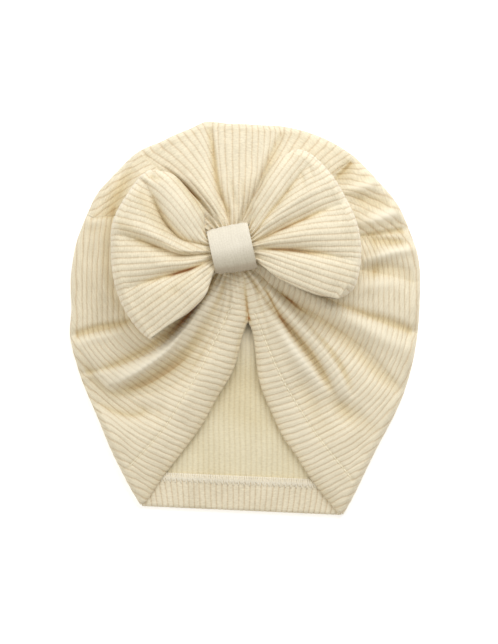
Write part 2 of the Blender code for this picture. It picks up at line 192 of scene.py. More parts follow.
@dataclass(frozen=True)
class Fold:
    """A ridge or valley along a line over the cloth, which falls off from the line as a bell.

    Attributes:
        name: what it is.
        left: the bell's width to the left of the way that the line runs.
        right: its width to the right.
        path: the line's points, each a place counted from the knot and a lift, below 0 in a valley.
        power: how steep the bell is. A higher power gives it a flatter top and steeper sides.
    """

    name: str
    left: float
    right: float
    path: tuple
    power: float = 2.0

    def line(self, steps: int) -> Array:
        """The line as so many points on a smooth curve through its own ones, each a place and a lift."""
        path = np.array(self.path) + (*KNOT, 0.0)
        return resample(path, np.linspace(0, len(path) - 1, steps), np.arange(3.0))


@dataclass(frozen=True)
class Dent:
    """A soft hollow from one place to another, each an angle and a distance from the knot."""

    name: str
    start: tuple
    end: tuple
    width: float
    depth: float


@dataclass(frozen=True)
class Loop:
    """One loop of the bow: its folds, how the ribs lie in each of them, and the outline of its end."""

    pleats: tuple
    lies: tuple
    outline: Outline


def lies(*rows: tuple) -> tuple:
    """Lies from rows of four angles: first crease near and far, last crease near and far."""
    return tuple(Lie(row[:2], row[2:]) for row in rows)


def seam_fold(name: str, *places: tuple) -> Fold:
    """The groove that a hem's seam pulls into the cloth along these places, counted from the knot."""
    return Fold(name, SEAM_WIDTH, SEAM_WIDTH, tuple((x, y, -SEAM_DEPTH) for x, y in places))


RIM = Outline((
    (19.6, 135.4), (28, 121.3), (40, 106), (52, 97.3), (62, 91.5), (70, 85.3), (82, 81), (94, 77.3),
    (103, 74.6), (112, 73), (124, 69.5), (136, 67.8), (148, 64.5), (160, 64), (168, 65.2), (180, 63),
    (190, 63.5), (202, 66.5), (214, 70.3), (232, 76.5), (244, 80.3), (256, 86.3), (264, 89.2), (272, 93),
    (286, 97.5), (298, 103.8), (310, 111.8), (322, 120.8), (328, 127.8), (337.4, 143.5),
))

CAP_PLEATS = (
    Pleat("left_edge", (-20.8, -19.2, -15.6, -13.2, -8.8, 0.2, 5.5, 10.1, 13.6, 17.3, 19.6), (1, 4.4, 2.8),
        0.55, 0.8, (0, 0.099, 0.165, 0.236, 0.275, 0.445, 0.534, 0.66, 0.757, 0.881, 1)),
    Pleat("left_hollow", (6, 12, 20.5, 32, 42), (1.5, 3.2, 0.8), 0.78, 1),
    Pleat("left_roll", (32, 33.5, 37, 43.5, 50), (2, 4.5, 1.6), 0.5, 0.8),
    Pleat("left_side", (52, 51, 53, 57, 61.5), (1.5, 2, 2.6), 0.5, 0.5),
    Pleat("upper_left", (98, 108, 110, 108, 103.4), (1.5, 1.8, 2.6), 0.5, 0.6),
    Pleat("upper_left_fan", (132, 140, 140, 138, 137), (2, 2, 1.4), 0.45, 0.7),
    Pleat("top_left", (176, 172, 167.5, 169, 169.5), (3, 3.2, 1.6), 0.5, 0.6),
    Pleat("top_right", (199, 201, 202.5, 202, 202.8), (3, 2.8, 1.2), 0.5, 0.7),
    Pleat("upper_right", (228, 231, 233, 233.5, 232.2), (1.5, 2, 2.4), 0.47, 0.8),
    Pleat("right_fold", (252, 257, 262, 264, 264), (1.5, 2.5, 2.6), 0.36, 0.9),
    Pleat("right_soft", (271, 276, 279, 279, 280), (1, 1.5, 1.6), 0.5, 0.6),
    Pleat("right_side", (292, 296, 297, 296, 294.7), (1.5, 2.5, 2.6), 0.33, 0.8),
    Pleat("right_roll", (313, 312, 307.5, 306.8, 309.5), (2.5, 3.6, 1.4), 0.62, 1),
    Pleat("right_hollow", (329, 326, 323.2, 324.5, 326), (2, 2.6, 0.2), 0.3, 0.9),
    Pleat("right_edge", (339.2, 340.8, 344.4, 346.8, 346.1, 348.2, 346, 344.5, 342.2, 340.5, 337.4),
        (1, 4.4, 2.8), 0.5, 1, (0, 0.093, 0.156, 0.222, 0.264, 0.44, 0.589, 0.674, 0.762, 0.856, 1)),
)
CAP_DENTS = (
    Dent("left_hollow", (25, 90), (45, 101), 9, 2.4),
    Dent("right_hollow", (334, 78), (328, 96), 10, 2),
)
CAP_LIES = lies(
    (-11, -29, -19, -42), (-19, -42, -20, -48), (-20, -48, -55, -66), (-78, -90, -100, -98),
    (30, 38, 22, 25), (-38, -28, -68, -68), (108, 92, 72, 88), (66, 68, 45, 27), (6, 6, -42, -42),
    (-60, -56, -88, -88), (-88, -88, -93, -90), (-94, -98, -114, -116), (-118, -118, -140, -146),
    (-150, -146, -174, -150),
)

# Lines of painted shade along creases, in the V and where the bow lies on the cap, and with a lift below 0
# painted highlights on crests. They tint the cloth's colour only and don't move it.
CAP_PAINTED_SHADING = (
    Fold("bow_left_contact_shade", 1.3, 1, ((-7, -14, 0.6), (-12, -22, 1.5), (-17.5, -28, 1.7), (-24, -35, 1.5),
        (-28.5, -39.5, 1), (-33, -44, 0.3))),
    Fold("right_j", 0.9, 0.7, ((14.5, -18, 0.6), (18, -22.5, 1.5), (22, -30, 1.4), (27.5, -39, 0.6),
        (33, -47.5, 0.1))),
    Fold("right_h", 1, 0.8, ((23, -20, 0.3), (28, -24.5, 1.4), (33, -29, 1.3), (40, -33.5, 0.5),
        (50, -39, 0.2))),
    Fold("finger_contact_shade", 0.9, 0.7, ((-29.5, 37, 0.2), (-27, 34, 1.3), (-21.5, 29, 1.6),
        (-16, 24.5, 0.8))),
    Fold("right_i", 1.4, 1, ((31, -31, 0.2), (39, -39.5, 0.3), (48, -48, 0.3), (55.5, -59, 0.2),
        (59, -71, 0))),
    Fold("upper_left_shade", 5.5, 5.5, ((-51, 38, 0.3), (-55, 28, 0.5), (-61, 19, 0.5), (-67, 12, 0.2))),
    Fold("left_flap_shade", 3.4, 3.4, ((-56, -71, 0.1), (-41, -67, 0.45), (-28, -59.5, 0.55),
        (-16, -52, 0.4), (-10.5, -44, 0.1))),
    Fold("bow_left_shade", 2, 2, ((-58.5, 20, 0.5), (-62.5, 6, 0.6), (-62.5, -10, 0.5),
        (-58.5, -25, 0.4), (-53, -35, 0.2))),
    Fold("bow_right_shade", 1.6, 1.6, ((63.5, 26, 0.2), (70, 9, 0.4), (71.5, -8, 0.5), (68.5, -21, 0.5))),
    Fold("upper_right", 0.9, 1.6, ((52.5, 37.5, 1), (56, 41, 1.2), (60, 45, 0.9), (63.5, 49, 0.2))),
    Fold("v_line", 0.8, 0.8, ((5.8, -14, 0.4), (6.7, -21, 1.2), (7.5, -28, 1.6), (8.1, -34.5, 1.8))),
    Fold("v_left", 1, 1, ((8.1, -34.5, 1.6), (6, -39.3, 0.9), (3.5, -46.3, 0.4), (0, -60.2, 0))),
    Fold("v_right", 1, 1, ((8.1, -34.5, 1.6), (9.7, -39.3, 0.9), (11.1, -46.3, 0.4),
        (13.1, -62.2, 0))),
    Fold("left_crest_highlight", 1, 3.5, ((-21, -35, -0.3), (-27, -42.5, -0.6), (-33, -51, -0.9),
        (-44.5, -59.5, -0.9), (-57, -66.5, -0.3))),
    Fold("right_crest_highlight", 1.6, 4.5, ((24, -38, -0.3), (31, -47.5, -0.9), (38, -56, -0.9),
        (43, -62, -0.3))),
    Fold("side_crest_highlight", 3, 3, ((59, -32.5, -0.3), (70, -38, -0.8), (81.5, -45.5, -0.4))),
    Fold("lower_e_highlight", 2.2, 2.6, ((65, -17, -0.5), (73, -16, -0.7), (84, -15.5, -0.3))),
    Fold("ridge_e_highlight", 1.8, 1.8, ((67, -6, -0.5), (77, -2, -0.8), (91, 2, -0.4))),
    Fold("ridge_d_highlight", 2.4, 2.4, ((63, 13, -0.5), (73, 16, -0.8), (84, 20, -0.4))),
)
# Lines of painted shade along the bow's folds and under its loops' edges. They tint the cloth's colour only
# and don't move it.
BOW_PAINTED_SHADING = (
    Fold("left_wing_shade", 3, 3, ((-60, 14, 0.3), (-48.5, 8, 0.6), (-36, 2, 0.5))),
    Fold("left_finger_shade", 3, 3, ((-45.5, 27.5, 0.3), (-40, 18, 0.6), (-32.5, 8.5, 0.4))),
    Fold("left_point_shade", 3.6, 3.6, ((-41, -27.5, 0.2), (-30, -21, 0.4), (-20, -12.5, 0.3))),
    Fold("finger_tuck", 1, 0.8, ((-43.5, 36.5, 0.3), (-40, 35.7, 0.8), (-36, 34, 0.5), (-34, 32, 0))),
    Fold("finger_wing", 0.8, 0.6, ((-37, 4, 0.2), (-31, 1, 0.8), (-25, -2, 1.2), (-18, -2, 0.5))),
    Fold("wing_lower", 0.8, 0.6, ((-32, -14, 0.2), (-26.5, -12, 1.3), (-20.5, -10, 1.4), (-15, -7.5, 0.5))),
    Fold("middle", 0.7, 0.6, ((16, 0, 0.6), (23, -0.5, 1), (32, -1.3, 0.8), (42, -2.5, 0.2))),
    Fold("ridge", 0.7, 0.7, ((15, 4.5, 0.5), (22, 8, 0.8), (31, 12.2, 0.6), (43, 17.7, 0.2))),
)

CAP_FOLDS = (
    Fold("left_bow_valley", 2.2, 3, ((-7, -14, -1.2), (-12.5, -22, -2.2), (-17.5, -28, -2.8),
        (-23, -34, -3), (-28, -39.5, -2.4), (-34, -45.5, -1.8), (-41, -51, -0.6))),
    Fold("left_ridge", 4.2, 1.5, ((-13, -23.5, 0.6), (-16.5, -29, 2.4), (-21, -36.5, 3.6),
        (-25.5, -42, 2.6), (-30, -47, 0.6))),
    Fold("left_crest", 1.8, 4.6, ((-21, -36.5, 0.2), (-25.5, -42, 1.6), (-32, -50, 4.4), (-45, -59.5, 4.2),
        (-57.5, -66, 1))),
    Fold("left_upper_valley", 1.6, 2.4, ((-26.5, -39, -1), (-31, -43.5, -0.8), (-36, -47.5, -0.2))),
    Fold("left_valley", 6.5, 2.8, ((-13, -34, -0.3), (-18.5, -46.5, -2), (-28.5, -57, -3),
        (-42, -66, -3), (-55, -70.5, -1.4), (-62, -72, 0))),
    Fold("left_crease", 3.8, 1.8, ((-49.5, -35.5, -0.6), (-57, -37, -1.4), (-68, -39, -1.5),
        (-81, -43, -1.1))),
    Fold("left_crease_ridge", 2.5, 3, ((-52, -40, 0.3), (-60, -42, 1.6), (-70, -44, 1.6),
        (-79, -47.5, 0.3))),
    Fold("left_rim_valley", 4, 3.6, ((-76, -53, -1), (-70, -64, -3.4), (-64, -74, -4.8),
        (-52, -80, -4.2), (-39, -80.5, -0.6))),
    Fold("left_hem_fold", 4, 4, ((-5, -40, 0.2), (-14, -58, 0.8), (-24, -74, 0.8), (-36, -91, 0.3))),
    Fold("right_valley_j", 1.8, 1.8, ((15, -16.5, -0.8), (18.5, -24, -2.2), (24.5, -33, -2.8),
        (33, -44, -2.4), (41, -55, -1.6), (47, -66, -0.5), (49, -71, 0))),
    Fold("right_ridge_k", 1.8, 4.6, ((20, -28, 0.5), (26, -41, 2.8), (34, -53, 3.2), (43, -65, 1.6),
        (48, -73, 0))),
    Fold("right_ridge_i", 3.4, 3.4, ((17.5, -19, 0.8), (26, -30, 2), (34.5, -39, 2.8), (42.5, -48.5, 2.8),
        (49.5, -59, 2.6), (54, -69, 1.8), (56.5, -76, 0)), 4),
    Fold("right_valley_h", 3.6, 4.4, ((19, -16, -0.8), (29, -25, -1.9), (40, -33, -2.3), (53, -42, -2.7),
        (64, -52, -2.7), (74, -62, -2.2), (84, -71, -0.5))),
    Fold("right_ridge_gh", 4, 4.6, ((43, -29, 0.3), (56, -33.5, 1.5), (65, -39, 1.9), (77, -45.5, 1.6),
        (90, -51, 0.7))),
    Fold("right_crease_g", 2.2, 1.8, ((54, -27, -0.3), (65.5, -32, -1.2), (79, -35.5, -1.4),
        (93, -42, -1.2))),
    Fold("right_edge_i", 2.2, 1.1, ((32, -34, -0.4), (40, -42, -0.9), (48.5, -51, -1), (56, -62, -1),
        (60, -72, -0.3))),
    Fold("right_tip_valley", 4, 5, ((44, -74, -0.4), (52, -77.5, -1.2), (60, -81, -1.5),
        (68, -87, -1), (74, -93, -0.2))),
    Fold("right_valley_low", 6, 6, ((33, -61, -0.2), (38, -73, -1.4), (43, -86, -1.4), (48, -97, 0))),
    Fold("right_soft_ridge", 4, 4, ((60, -20, 0.2), (70, -18, 1), (82, -17, 0.5))),
    Fold("right_valley_e", 2.8, 4.6, ((64, -11, -0.6), (72, -9, -1.6), (82, -9.5, -1.4), (91, -12, -0.2))),
    Fold("right_ridge_e", 3, 3, ((64, -6, 0.8), (72, -3.5, 2.1), (83, -0.5, 2.3), (92, 1, 1.2))),
    Fold("right_valley_d", 2.2, 3, ((65, 4.5, -1.2), (73, 4.5, -2.6), (83, 3.5, -2.2), (90, 2, -0.4))),
    Fold("right_ridge_d", 4.2, 3.4, ((61, 14, 0.8), (70, 14.5, 2.8), (80, 17.5, 2.6), (88, 18, 0.8))),
    Fold("right_crease_d", 0.9, 1.6, ((65, 7, -0.6), (74, 8.5, -1), (88, 10.5, -0.8))),
    Fold("right_valley_f", 3.2, 3.5, ((57.5, 25, -0.8), (66, 24.5, -2), (76, 23, -0.8))),
    Fold("right_ridge_f", 2.5, 3, ((54, 30, 0.8), (62, 30.5, 2.4), (75, 34, 1.4))),
    Fold("right_valley_c", 1.8, 4.4, ((49, 34, -0.8), (54, 36.5, -2), (60, 43, -1.8), (63, 47.5, -0.3))),
    Fold("top_right_valley", 2, 3.4, ((15, 27, -0.8), (17, 37, -1.3), (21, 48, -1.1), (25.5, 58, -0.4))),
    Fold("top_right_ridge", 4, 3, ((10, 25, 0.6), (12.5, 36, 1), (16, 48, 0.6))),
    Fold("top_left_valley", 2.4, 1.1, ((-1.5, 17, -1.2), (-5.5, 26.5, -1.9), (-8, 39, -1.9),
        (-9.5, 51, -1.4), (-11, 61, -0.6))),
    Fold("upper_left_gather", 1.2, 1, ((-9, 14, -0.6), (-13.5, 21, -1.4), (-20, 28, -1.6),
        (-27, 35, -1.4), (-33, 40, -0.4))),
    Fold("upper_left_gather_ridge", 3, 2.5, ((-5, 18, 0.4), (-12, 27, 1), (-21, 35, 0.8))),
    Fold("upper_left_hollow", 5, 5.5, ((-47.5, 40, -0.5), (-53, 34, -2.6), (-57, 27, -3.2),
        (-60, 19, -2), (-61, 12, -0.4))),
    Fold("upper_left_ridge", 2.5, 2, ((-60, 15.5, 0.6), (-68, 14, 1.2), (-76, 12, 0.8))),
    Fold("knot_gather_a", 1.3, 1.5, ((-3, -14.5, -0.6), (-6.5, -23.5, -1.4), (-10, -32, -0.6),
        (-13, -40, 0))),
    Fold("knot_gather_b", 1.2, 1.4, ((1, -13.5, -0.5), (-0.5, -21, -1), (-2.5, -31, -0.6), (-5, -40, 0))),
    Fold("knot_gather_c", 1.2, 1.4, ((11, -14, -0.5), (13, -23, -1.2), (16, -34, -0.7), (19, -44, 0))),
    Fold("knot_gather_d", 1.2, 1.2, ((6, 23, -0.4), (5.5, 29, -0.8), (5, 37, 0))),
    Fold("knot_gather_e", 1.2, 1.4, ((2, 22, -0.5), (0, 30, -0.9), (-1.5, 40, 0))),
)

SEAM_FOLDS = (
    seam_fold(
        "left_seam",
        (0.5, -27), (-9, -46.1), (-17, -61.5), (-24.5, -73.5), (-33.2, -87.9), (-42.8, -98.9),
        (-51.5, -108.4),
    ),
    seam_fold("right_seam", (11, -31), (22, -58), (33, -78), (44.8, -95.5), (60.1, -114.5)),
)

LEFT = Loop(
    (
        Pleat("top_edge", (117.5, 145.5, 144, 142.6, 135.6), (0, 3.4, 3), 0.5, 0.7),
        Pleat("finger", (98, 100, 110, 122, 128), (1.5, 5, 3.4), 0.72, 0.8),
        Pleat("wing", (79, 81.5, 90.3, 95.5, 97), (1.5, 4.2, 1.6), 0.55, 0.8),
        Pleat("lower", (61, 63.4, 67.4, 68.7, 69), (1, 3.9, 1.6), 0.5, 0.6),
        Pleat("bottom_edge", (37.5, 29.5, 33.5, 39.3, 42.2), (0, 2, 1.5), 0.5, 1),
    ),
    lies((-62, -44, -50, -30), (-38, -22, -14, -10), (-4, -2, 16, 8), (30, 30, 48, 38)),
    Outline(((41.8, 64), (71, 62.9), (90, 62), (101, 62.7), (119, 60.6), (128, 60.1), (136.8, 59))),
)
RIGHT = Loop(
    (
        Pleat("top_edge", (217.5, 206, 205.2, 207, 212.2), (0, 3, 2.5), 0.5, 0.7),
        Pleat("ridge", (238, 228, 225, 223, 222), (1.5, 3.5, 1), 0.4, 0.8),
        Pleat("middle", (254, 249.5, 248.2, 247.5, 247.5), (1.5, 4.2, 1.8), 0.5, 0.8),
        Pleat("lower", (272, 270.5, 272, 274, 276), (1, 4.2, 1.6), 0.45, 0.7),
        Pleat("bottom_edge", (297.5, 302.6, 300.8, 298.3, 295), (0, 2.5, 1.8), 0.5, 1),
    ),
    lies((62, 56, 50, 50), (40, 32, 24, 18), (20, 8, -4, -2), (-10, -12, -30, -20)),
    Outline((
        (212, 62.4), (223.7, 63.7), (243, 64), (262, 65.9), (276.5, 66.4), (287, 66.2), (295.6, 63.2),
    )),
)
BOW_FOLDS = (
    Fold("finger_valley", 1.3, 3.2, ((-44.5, 31.5, -0.4), (-37, 21, -1.5), (-30, 9.5, -1.9),
        (-23, 3.5, -1.5), (-13, 1, -1))),
    Fold("wing_valley", 1.2, 3.6, ((-58, 7, -0.3), (-49.5, 5, -0.8), (-37, 0.5, -1.5), (-26.5, -3.5, -2),
        (-12, -2.5, -1.3))),
    Fold("lower_valley", 3.4, 1.2, ((-47.5, -18.5, -0.1), (-34, -14, -1.1), (-22, -10.5, -2),
        (-10, -6.5, -1.4))),
    Fold("finger_dimple", 1.8, 1.8, ((-43.5, 36.5, -1), (-40.5, 35.8, -2.4), (-36, 34, -1.2))),
    Fold("finger_ridge", 4, 4, ((-36, 35, 0.2), (-27, 25, 0.8), (-18, 14, 0.6))),
    Fold("wing_ridge", 2.5, 2.5, ((-57, 12.5, 0.2), (-41, 8, 0.7), (-23, 1.5, 0.4))),
    Fold("lower_dent", 2.6, 2.6, ((-30, -18.5, -0.2), (-27.5, -21, -0.7), (-24, -24, -0.2))),
    Fold("ridge_valley", 3.4, 1.2, ((13, 4, -1.2), (21, 8, -1.6), (30, 12, -1.6), (44.5, 18.5, -1.1),
        (55, 23, -0.3))),
    Fold("middle_valley", 1.2, 1.2, ((14.5, 0.5, -0.9), (23, -0.5, -1.2), (34.5, -1.5, -1.4),
        (45, -3, -0.6), (54, -4.5, -0.1))),
    Fold("top_valley", 1.4, 1.4, ((11, 13, -0.6), (16, 22, -0.9), (22, 30, -0.4), (27, 36, 0))),
    Fold("top_wrinkle_a", 1, 1, ((32, 41, -0.2), (34.5, 35, -0.9), (35.5, 29, -0.2))),
    Fold("top_wrinkle_b", 1, 1, ((37, 42, -0.2), (39, 37, -0.8), (41, 31, -0.2))),
    Fold("top_ridge", 2.2, 2.2, ((12, 9, 0.2), (29, 22, 0.9), (49, 32, 0.3))),
    Fold("lower_lip", 3, 3, ((19, -10, 0.2), (36.5, -19, 0.8), (54, -24, 0.4))),
)


def read_table(places: Numbers, values: Numbers, at: Numbers) -> Array:
    """Reads a table through a smooth curve that passes every row and never overshoots between two rows.

    Each stretch is a cubic whose end slopes are the harmonic mean of its neighbours' slopes.

    Args:
        places: the rows' places, rising.
        values: the rows' values.
        at: where to read.

    Returns:
        The value at each place of at, which is held within the table's ends.
    """
    places = np.asarray(places, float)
    values = np.asarray(values, float)
    at = np.clip(np.asarray(at, float), places[0], places[-1])
    step = np.diff(places)
    slope = np.diff(values) / step
    before, after = slope[:-1], slope[1:]
    same_way = before * after > 0
    tangent = np.empty_like(values)
    tangent[0], tangent[-1] = slope[0], slope[-1]
    tangent[1:-1] = np.where(same_way, 2 * before * after / np.where(same_way, before + after, 1.0), 0.0)
    row = np.clip(np.searchsorted(places, at, side="right") - 1, 0, len(step) - 1)
    t = (at - places[row]) / step[row]
    smooth = values[row] + (values[row + 1] - values[row]) * t * t * (3 - 2 * t)
    return smooth + step[row] * t * (1 - t) * (tangent[row] * (1 - t) - tangent[row + 1] * t)


def around_knot(angle: Numbers, radius: Numbers) -> Array:
    """Points in the plane at these angles and distances from the knot."""
    turn = np.radians(angle)
    return KNOT + np.stack([-np.sin(turn) * radius, -np.cos(turn) * radius], axis=-1)


def seen_from_knot(points: Array) -> tuple:
    """The angle and distance of points from the knot. The angles run once round, from V edge to V edge."""
    away = points - KNOT
    radius = np.hypot(away[..., 0], away[..., 1])
    start = read_table(V_LINE_RADII, V_LINE_ANGLES, radius)
    return (np.degrees(np.arctan2(-away[..., 0], -away[..., 1])) - start) % 360 + start, radius


def crease_angles(pleats: tuple, reach: Array) -> Array:
    """The angle of every crease, one column each, at each reach."""
    return np.stack([read_table(pleat.stations, pleat.angles, reach) for pleat in pleats], axis=-1)


def between(angles: Array, places: Array) -> Array:
    """Reads crease angles at places counted in creases, so 2.5 is midway between the third and the fourth."""
    first = np.minimum(places.astype(int), angles.shape[-1] - 2)
    share = places - first
    return angles[..., first] * (1 - share) + angles[..., first + 1] * share


def pillow(share: Array, crest: Array, fullness: Array) -> Array:
    """A pleat's height across it, a sine arch raised to a power: 0 at its two creases and 1 at its crest."""
    half = np.where(share < crest, share / (2 * crest), 0.5 + (share - crest) / (2 * (1 - crest)))
    return np.sin(np.pi * np.clip(half, 0, 1)) ** fullness


def at_creases(values: Array, first: Array) -> list:
    """Each point's values at its pleat's two creases, from a column for each crease."""
    return [np.take_along_axis(values, first[..., None] + step, axis=-1)[..., 0] for step in (0, 1)]


def pleat_drop(pleats: tuple, first: Array, share: Array, reach: Array) -> Array:
    """How far the cloth lies below the crests: nothing on a crest, and in a crease that crease's depth.

    Args:
        pleats: the pleats.
        first: the row of the pleat that each point lies in.
        share: how far across that pleat it lies.
        reach: its reach.

    Returns:
        The drop at each point.
    """
    crest = np.array([pleat.crest for pleat in pleats])[first]
    fullness = np.array([pleat.fullness for pleat in pleats])[first]
    depth = np.stack([read_table(MID_STATIONS, pleat.depths, reach) for pleat in pleats], axis=-1)
    before, after = at_creases(depth, first)
    return (before * (1 - share) + after * share) * (1 - pillow(share, crest, fullness))


def dent_drop(points: Array, dents: tuple) -> Array:
    """How far the soft hollows press the cloth down: a bell across each hollow's line, fading at its ends.

    Args:
        points: places seen from above.
        dents: the hollows.

    Returns:
        The drop at each place.
    """
    drop = np.zeros(points.shape[:-1])
    for dent in dents:
        start = around_knot(*map(np.array, dent.start))
        along = around_knot(*map(np.array, dent.end)) - start
        t = np.clip(((points - start) @ along) / (along @ along), 0, 1)
        away = np.linalg.norm(points - start - t[..., None] * along, axis=-1)
        drop += dent.depth * np.exp(-((away / dent.width) ** 2))
    return drop


def fold_lift(points: Array, folds: tuple) -> Array:
    """How far the folds raise or press in the cloth: a bell on either side of each fold's line.

    Args:
        points: places seen from above.
        folds: the folds.

    Returns:
        The lift at each place.
    """
    lift = np.zeros(points.shape[:-1])
    for fold in folds:
        path = fold.line(FOLD_STEPS * (len(fold.path) - 1) + 1)
        reach = FOLD_EXTENT * max(fold.left, fold.right)
        near = (points > path[:, :2].min(axis=0) - reach) & (points < path[:, :2].max(axis=0) + reach)
        near = near.all(axis=-1)
        start, step = path[:-1], np.diff(path, axis=0)
        off = points[near][:, None] - start[:, :2]
        t = np.clip((off * step[:, :2]).sum(axis=-1) / (step[:, :2] ** 2).sum(axis=-1), 0, 1)
        off -= t[..., None] * step[:, :2]
        away = np.linalg.norm(off, axis=-1)
        best = away.argmin(axis=1)
        pick = (np.arange(len(best)), best)
        side = step[best, 0] * off[pick][:, 1] - step[best, 1] * off[pick][:, 0]
        width = np.where(side > 0, fold.left, fold.right)
        bell = np.exp(-((away[pick] / width) ** fold.power))
        lift[near] += (start[best, 2] + t[pick] * step[best, 2]) * bell
    return lift


def gathers(angle: Array, radius: Array) -> Array:
    """How far the small gathers round the knot sink: a cosine over the angle, which fades with distance."""
    fade = np.clip(1 - (radius - GATHER_START) / GATHER_REACH, 0, 1) ** 2
    turn = np.radians(angle)
    wave = np.cos(GATHER_COUNT * turn + GATHER_WANDER * np.sin(3 * turn))
    return GATHER_DEPTH * fade * (0.5 - 0.5 * wave)


# Its result is painted into the cloth's colour: painted shade in valleys and a painted highlight on crests
def hollows(height: Array, reach: int = 7) -> Array:
    """How far each point lies below the running mean round it, from -1 on a crest to 1 in a valley.

    Args:
        height: the heights over a grid.
        reach: how far one pass of the mean reaches, in rows and columns.

    Returns:
        A share of HOLLOW_DEPTH at each point.
    """
    smooth = height
    for axis in (0, 1, 0, 1):
        pad = [(reach, reach) if axis == k else (0, 0) for k in (0, 1)]
        total = np.cumsum(np.pad(smooth, pad, mode="edge"), axis=axis)
        count = height.shape[axis]
        after = total.take(np.arange(2 * reach, 2 * reach + count), axis)
        smooth = (after - total.take(np.arange(count), axis)) / (2 * reach)
    return np.clip((smooth - height) / HOLLOW_DEPTH, -1, 1)


def cap_height(points: Array) -> Array:
    """The height of the cap's front: a low dome, less the drop of its pleats, hollows and gathers.

    Args:
        points: places seen from above.

    Returns:
        The height over each place.
    """
    angle, radius = seen_from_knot(points)
    inner_edge = RIM.radius(angle) - RIM_RADIUS
    reach = np.clip((radius - HUB_RADIUS) / (inner_edge - HUB_RADIUS), 0, 1)
    angles = crease_angles(CAP_PLEATS, np.clip((radius - HUB_START) / (inner_edge - HUB_START), 0, 1))
    first = np.clip((angle[..., None] >= angles).sum(axis=-1) - 1, 0, len(CAP_PLEATS) - 2)
    low, high = at_creases(angles, first)
    share = np.clip((angle - low) / (high - low), 0, 1)
    rim = 2 * RIM_RADIUS + RIM_LIFT
    dome = rim + (HUB_HEIGHT - rim) * np.exp(-((radius / DOME_REACH) ** 2)) * (1 - reach**4)
    opened = np.clip((radius - HUB_RADIUS) / HUB_FADE, 0, 1)
    drop = pleat_drop(CAP_PLEATS, first, share, reach) + dent_drop(points, CAP_DENTS)
    drop -= fold_lift(points, CAP_FOLDS + SEAM_FOLDS)
    return np.maximum(dome - opened * drop - gathers(angle, radius), LOWEST_FRONT)


def flat(points: Array, height: Numbers) -> Array:
    """Points in the plane with a height each."""
    return np.concatenate([points, np.broadcast_to(height, points.shape[:-1])[..., None]], axis=-1)


def lengths(path: Array) -> Array:
    """The distance along a path from its start to each of its points."""
    return np.concatenate([[0], np.cumsum(np.linalg.norm(np.diff(path, axis=0), axis=-1))])


def cell_ends(values: Array) -> Array:
    """The values at the two ends of each step from one column to the next."""
    return np.stack([values[:, :-1], values[:, 1:]], axis=-1)


def quads(index: Array) -> Array:
    """The four corners of each cell of a grid of indices."""
    corners = (index[:-1, :-1], index[1:, :-1], index[1:, 1:], index[:-1, 1:])
    return np.stack(corners, axis=-1).reshape(-1, 4)


@dataclass(frozen=True)
class SoftNoise:
    """Smooth, seeded noise in the plane: a sum of twelve plane waves of about one wavelength.

    Its amount is about 1.4 times its standard deviation.
    """

    amount: float
    wave: float
    seed: int

    def at(self, points: Array) -> Array:
        """The noise at each point."""
        random = np.random.default_rng(self.seed)
        turn = random.uniform(0, 2 * np.pi, 12)
        length = self.wave * random.uniform(0.7, 1.6, 12)
        phase = random.uniform(0, 2 * np.pi, 12)
        along = points[..., :1] * np.cos(turn) + points[..., 1:2] * np.sin(turn)
        return self.amount * (np.sin(2 * np.pi * along / length + phase).sum(axis=-1) / math.sqrt(12))


def fit_ribs(points: Array, lie: Array, evenness: float) -> Array:
    """Finds the distance across the ribs over a grid whose ribs lie along given directions.

    It is the least-squares surface whose slope along each rib is 0 and whose slope across the ribs is 1. The
    first of the two counts most, so a rib keeps its direction and gives way in its width.

    Args:
        points: the grid's points in the plane, rows by columns by 2.
        lie: the angle of the ribs in each cell, in degrees.
        evenness: how much an even width counts beside a true direction.

    Returns:
        The distance across the ribs at each grid point, in millimetres.
    """
    rows, columns = points.shape[:2]
    corners = quads(np.arange(rows * columns).reshape(rows, columns))
    down = (points[1:, :-1] + points[1:, 1:] - points[:-1, :-1] - points[:-1, 1:]) / 2
    right = (points[:-1, 1:] + points[1:, 1:] - points[:-1, :-1] - points[1:, :-1]) / 2
    steps = np.stack([down, right], axis=-2).reshape(-1, 2, 2)
    inverse = np.linalg.inv(steps)
    weight = np.sqrt(np.abs(np.linalg.det(steps)))[:, None]
    turn = np.radians(lie).reshape(-1)
    along = np.stack([np.cos(turn), np.sin(turn)], axis=-1)
    across = np.stack([-np.sin(turn), np.cos(turn)], axis=-1)
    signs = np.array([[-0.5, 0.5, 0.5, -0.5], [-0.5, -0.5, 0.5, 0.5]])
    cells = np.arange(len(corners))[:, None]
    matrix = np.zeros((2 * len(corners), rows * columns))
    for block, (way, share) in enumerate(((along, 1.0), (across, evenness))):
        slope = np.einsum("ni,nij->nj", way, inverse) @ signs
        matrix[cells + block * len(corners), corners] = slope * weight * share
    wanted = np.concatenate([np.zeros(len(corners)), evenness * weight[:, 0]])
    return np.linalg.lstsq(matrix, wanted, rcond=None)[0].reshape(rows, columns)


def resample(grid: Array, rows_at: Array, columns_at: Array) -> Array:
    """Reads a coarse grid at fractional rows and columns through Catmull-Rom curves.

    Args:
        grid: the coarse grid.
        rows_at: the rows to read.
        columns_at: the columns to read.

    Returns:
        The value at each of those rows and columns.
    """

    def read(values: Array, at: Array) -> Array:
        """Reads the first axis of an array at fractional places."""
        last = len(values) - 1
        first = np.clip(np.floor(at).astype(int), 0, last - 1)
        t = (at - first)[:, None]
        a, b, c, d = (values[np.clip(first + k, 0, last)] for k in (-1, 0, 1, 2))
        return b + 0.5 * t * (c - a + t * (2 * a - 5 * b + 4 * c - d + t * (3 * (b - c) + d - a)))

    return read(read(grid, rows_at).T, columns_at).T


def surface_normals(points: Array) -> Array:
    """The unit normals of a grid, from the cross product of its slopes along its columns and its rows."""
    normal = np.cross(np.gradient(points, axis=0), np.gradient(points, axis=1))
    return normal / np.maximum(np.linalg.norm(normal, axis=-1), 1e-9)[..., None]


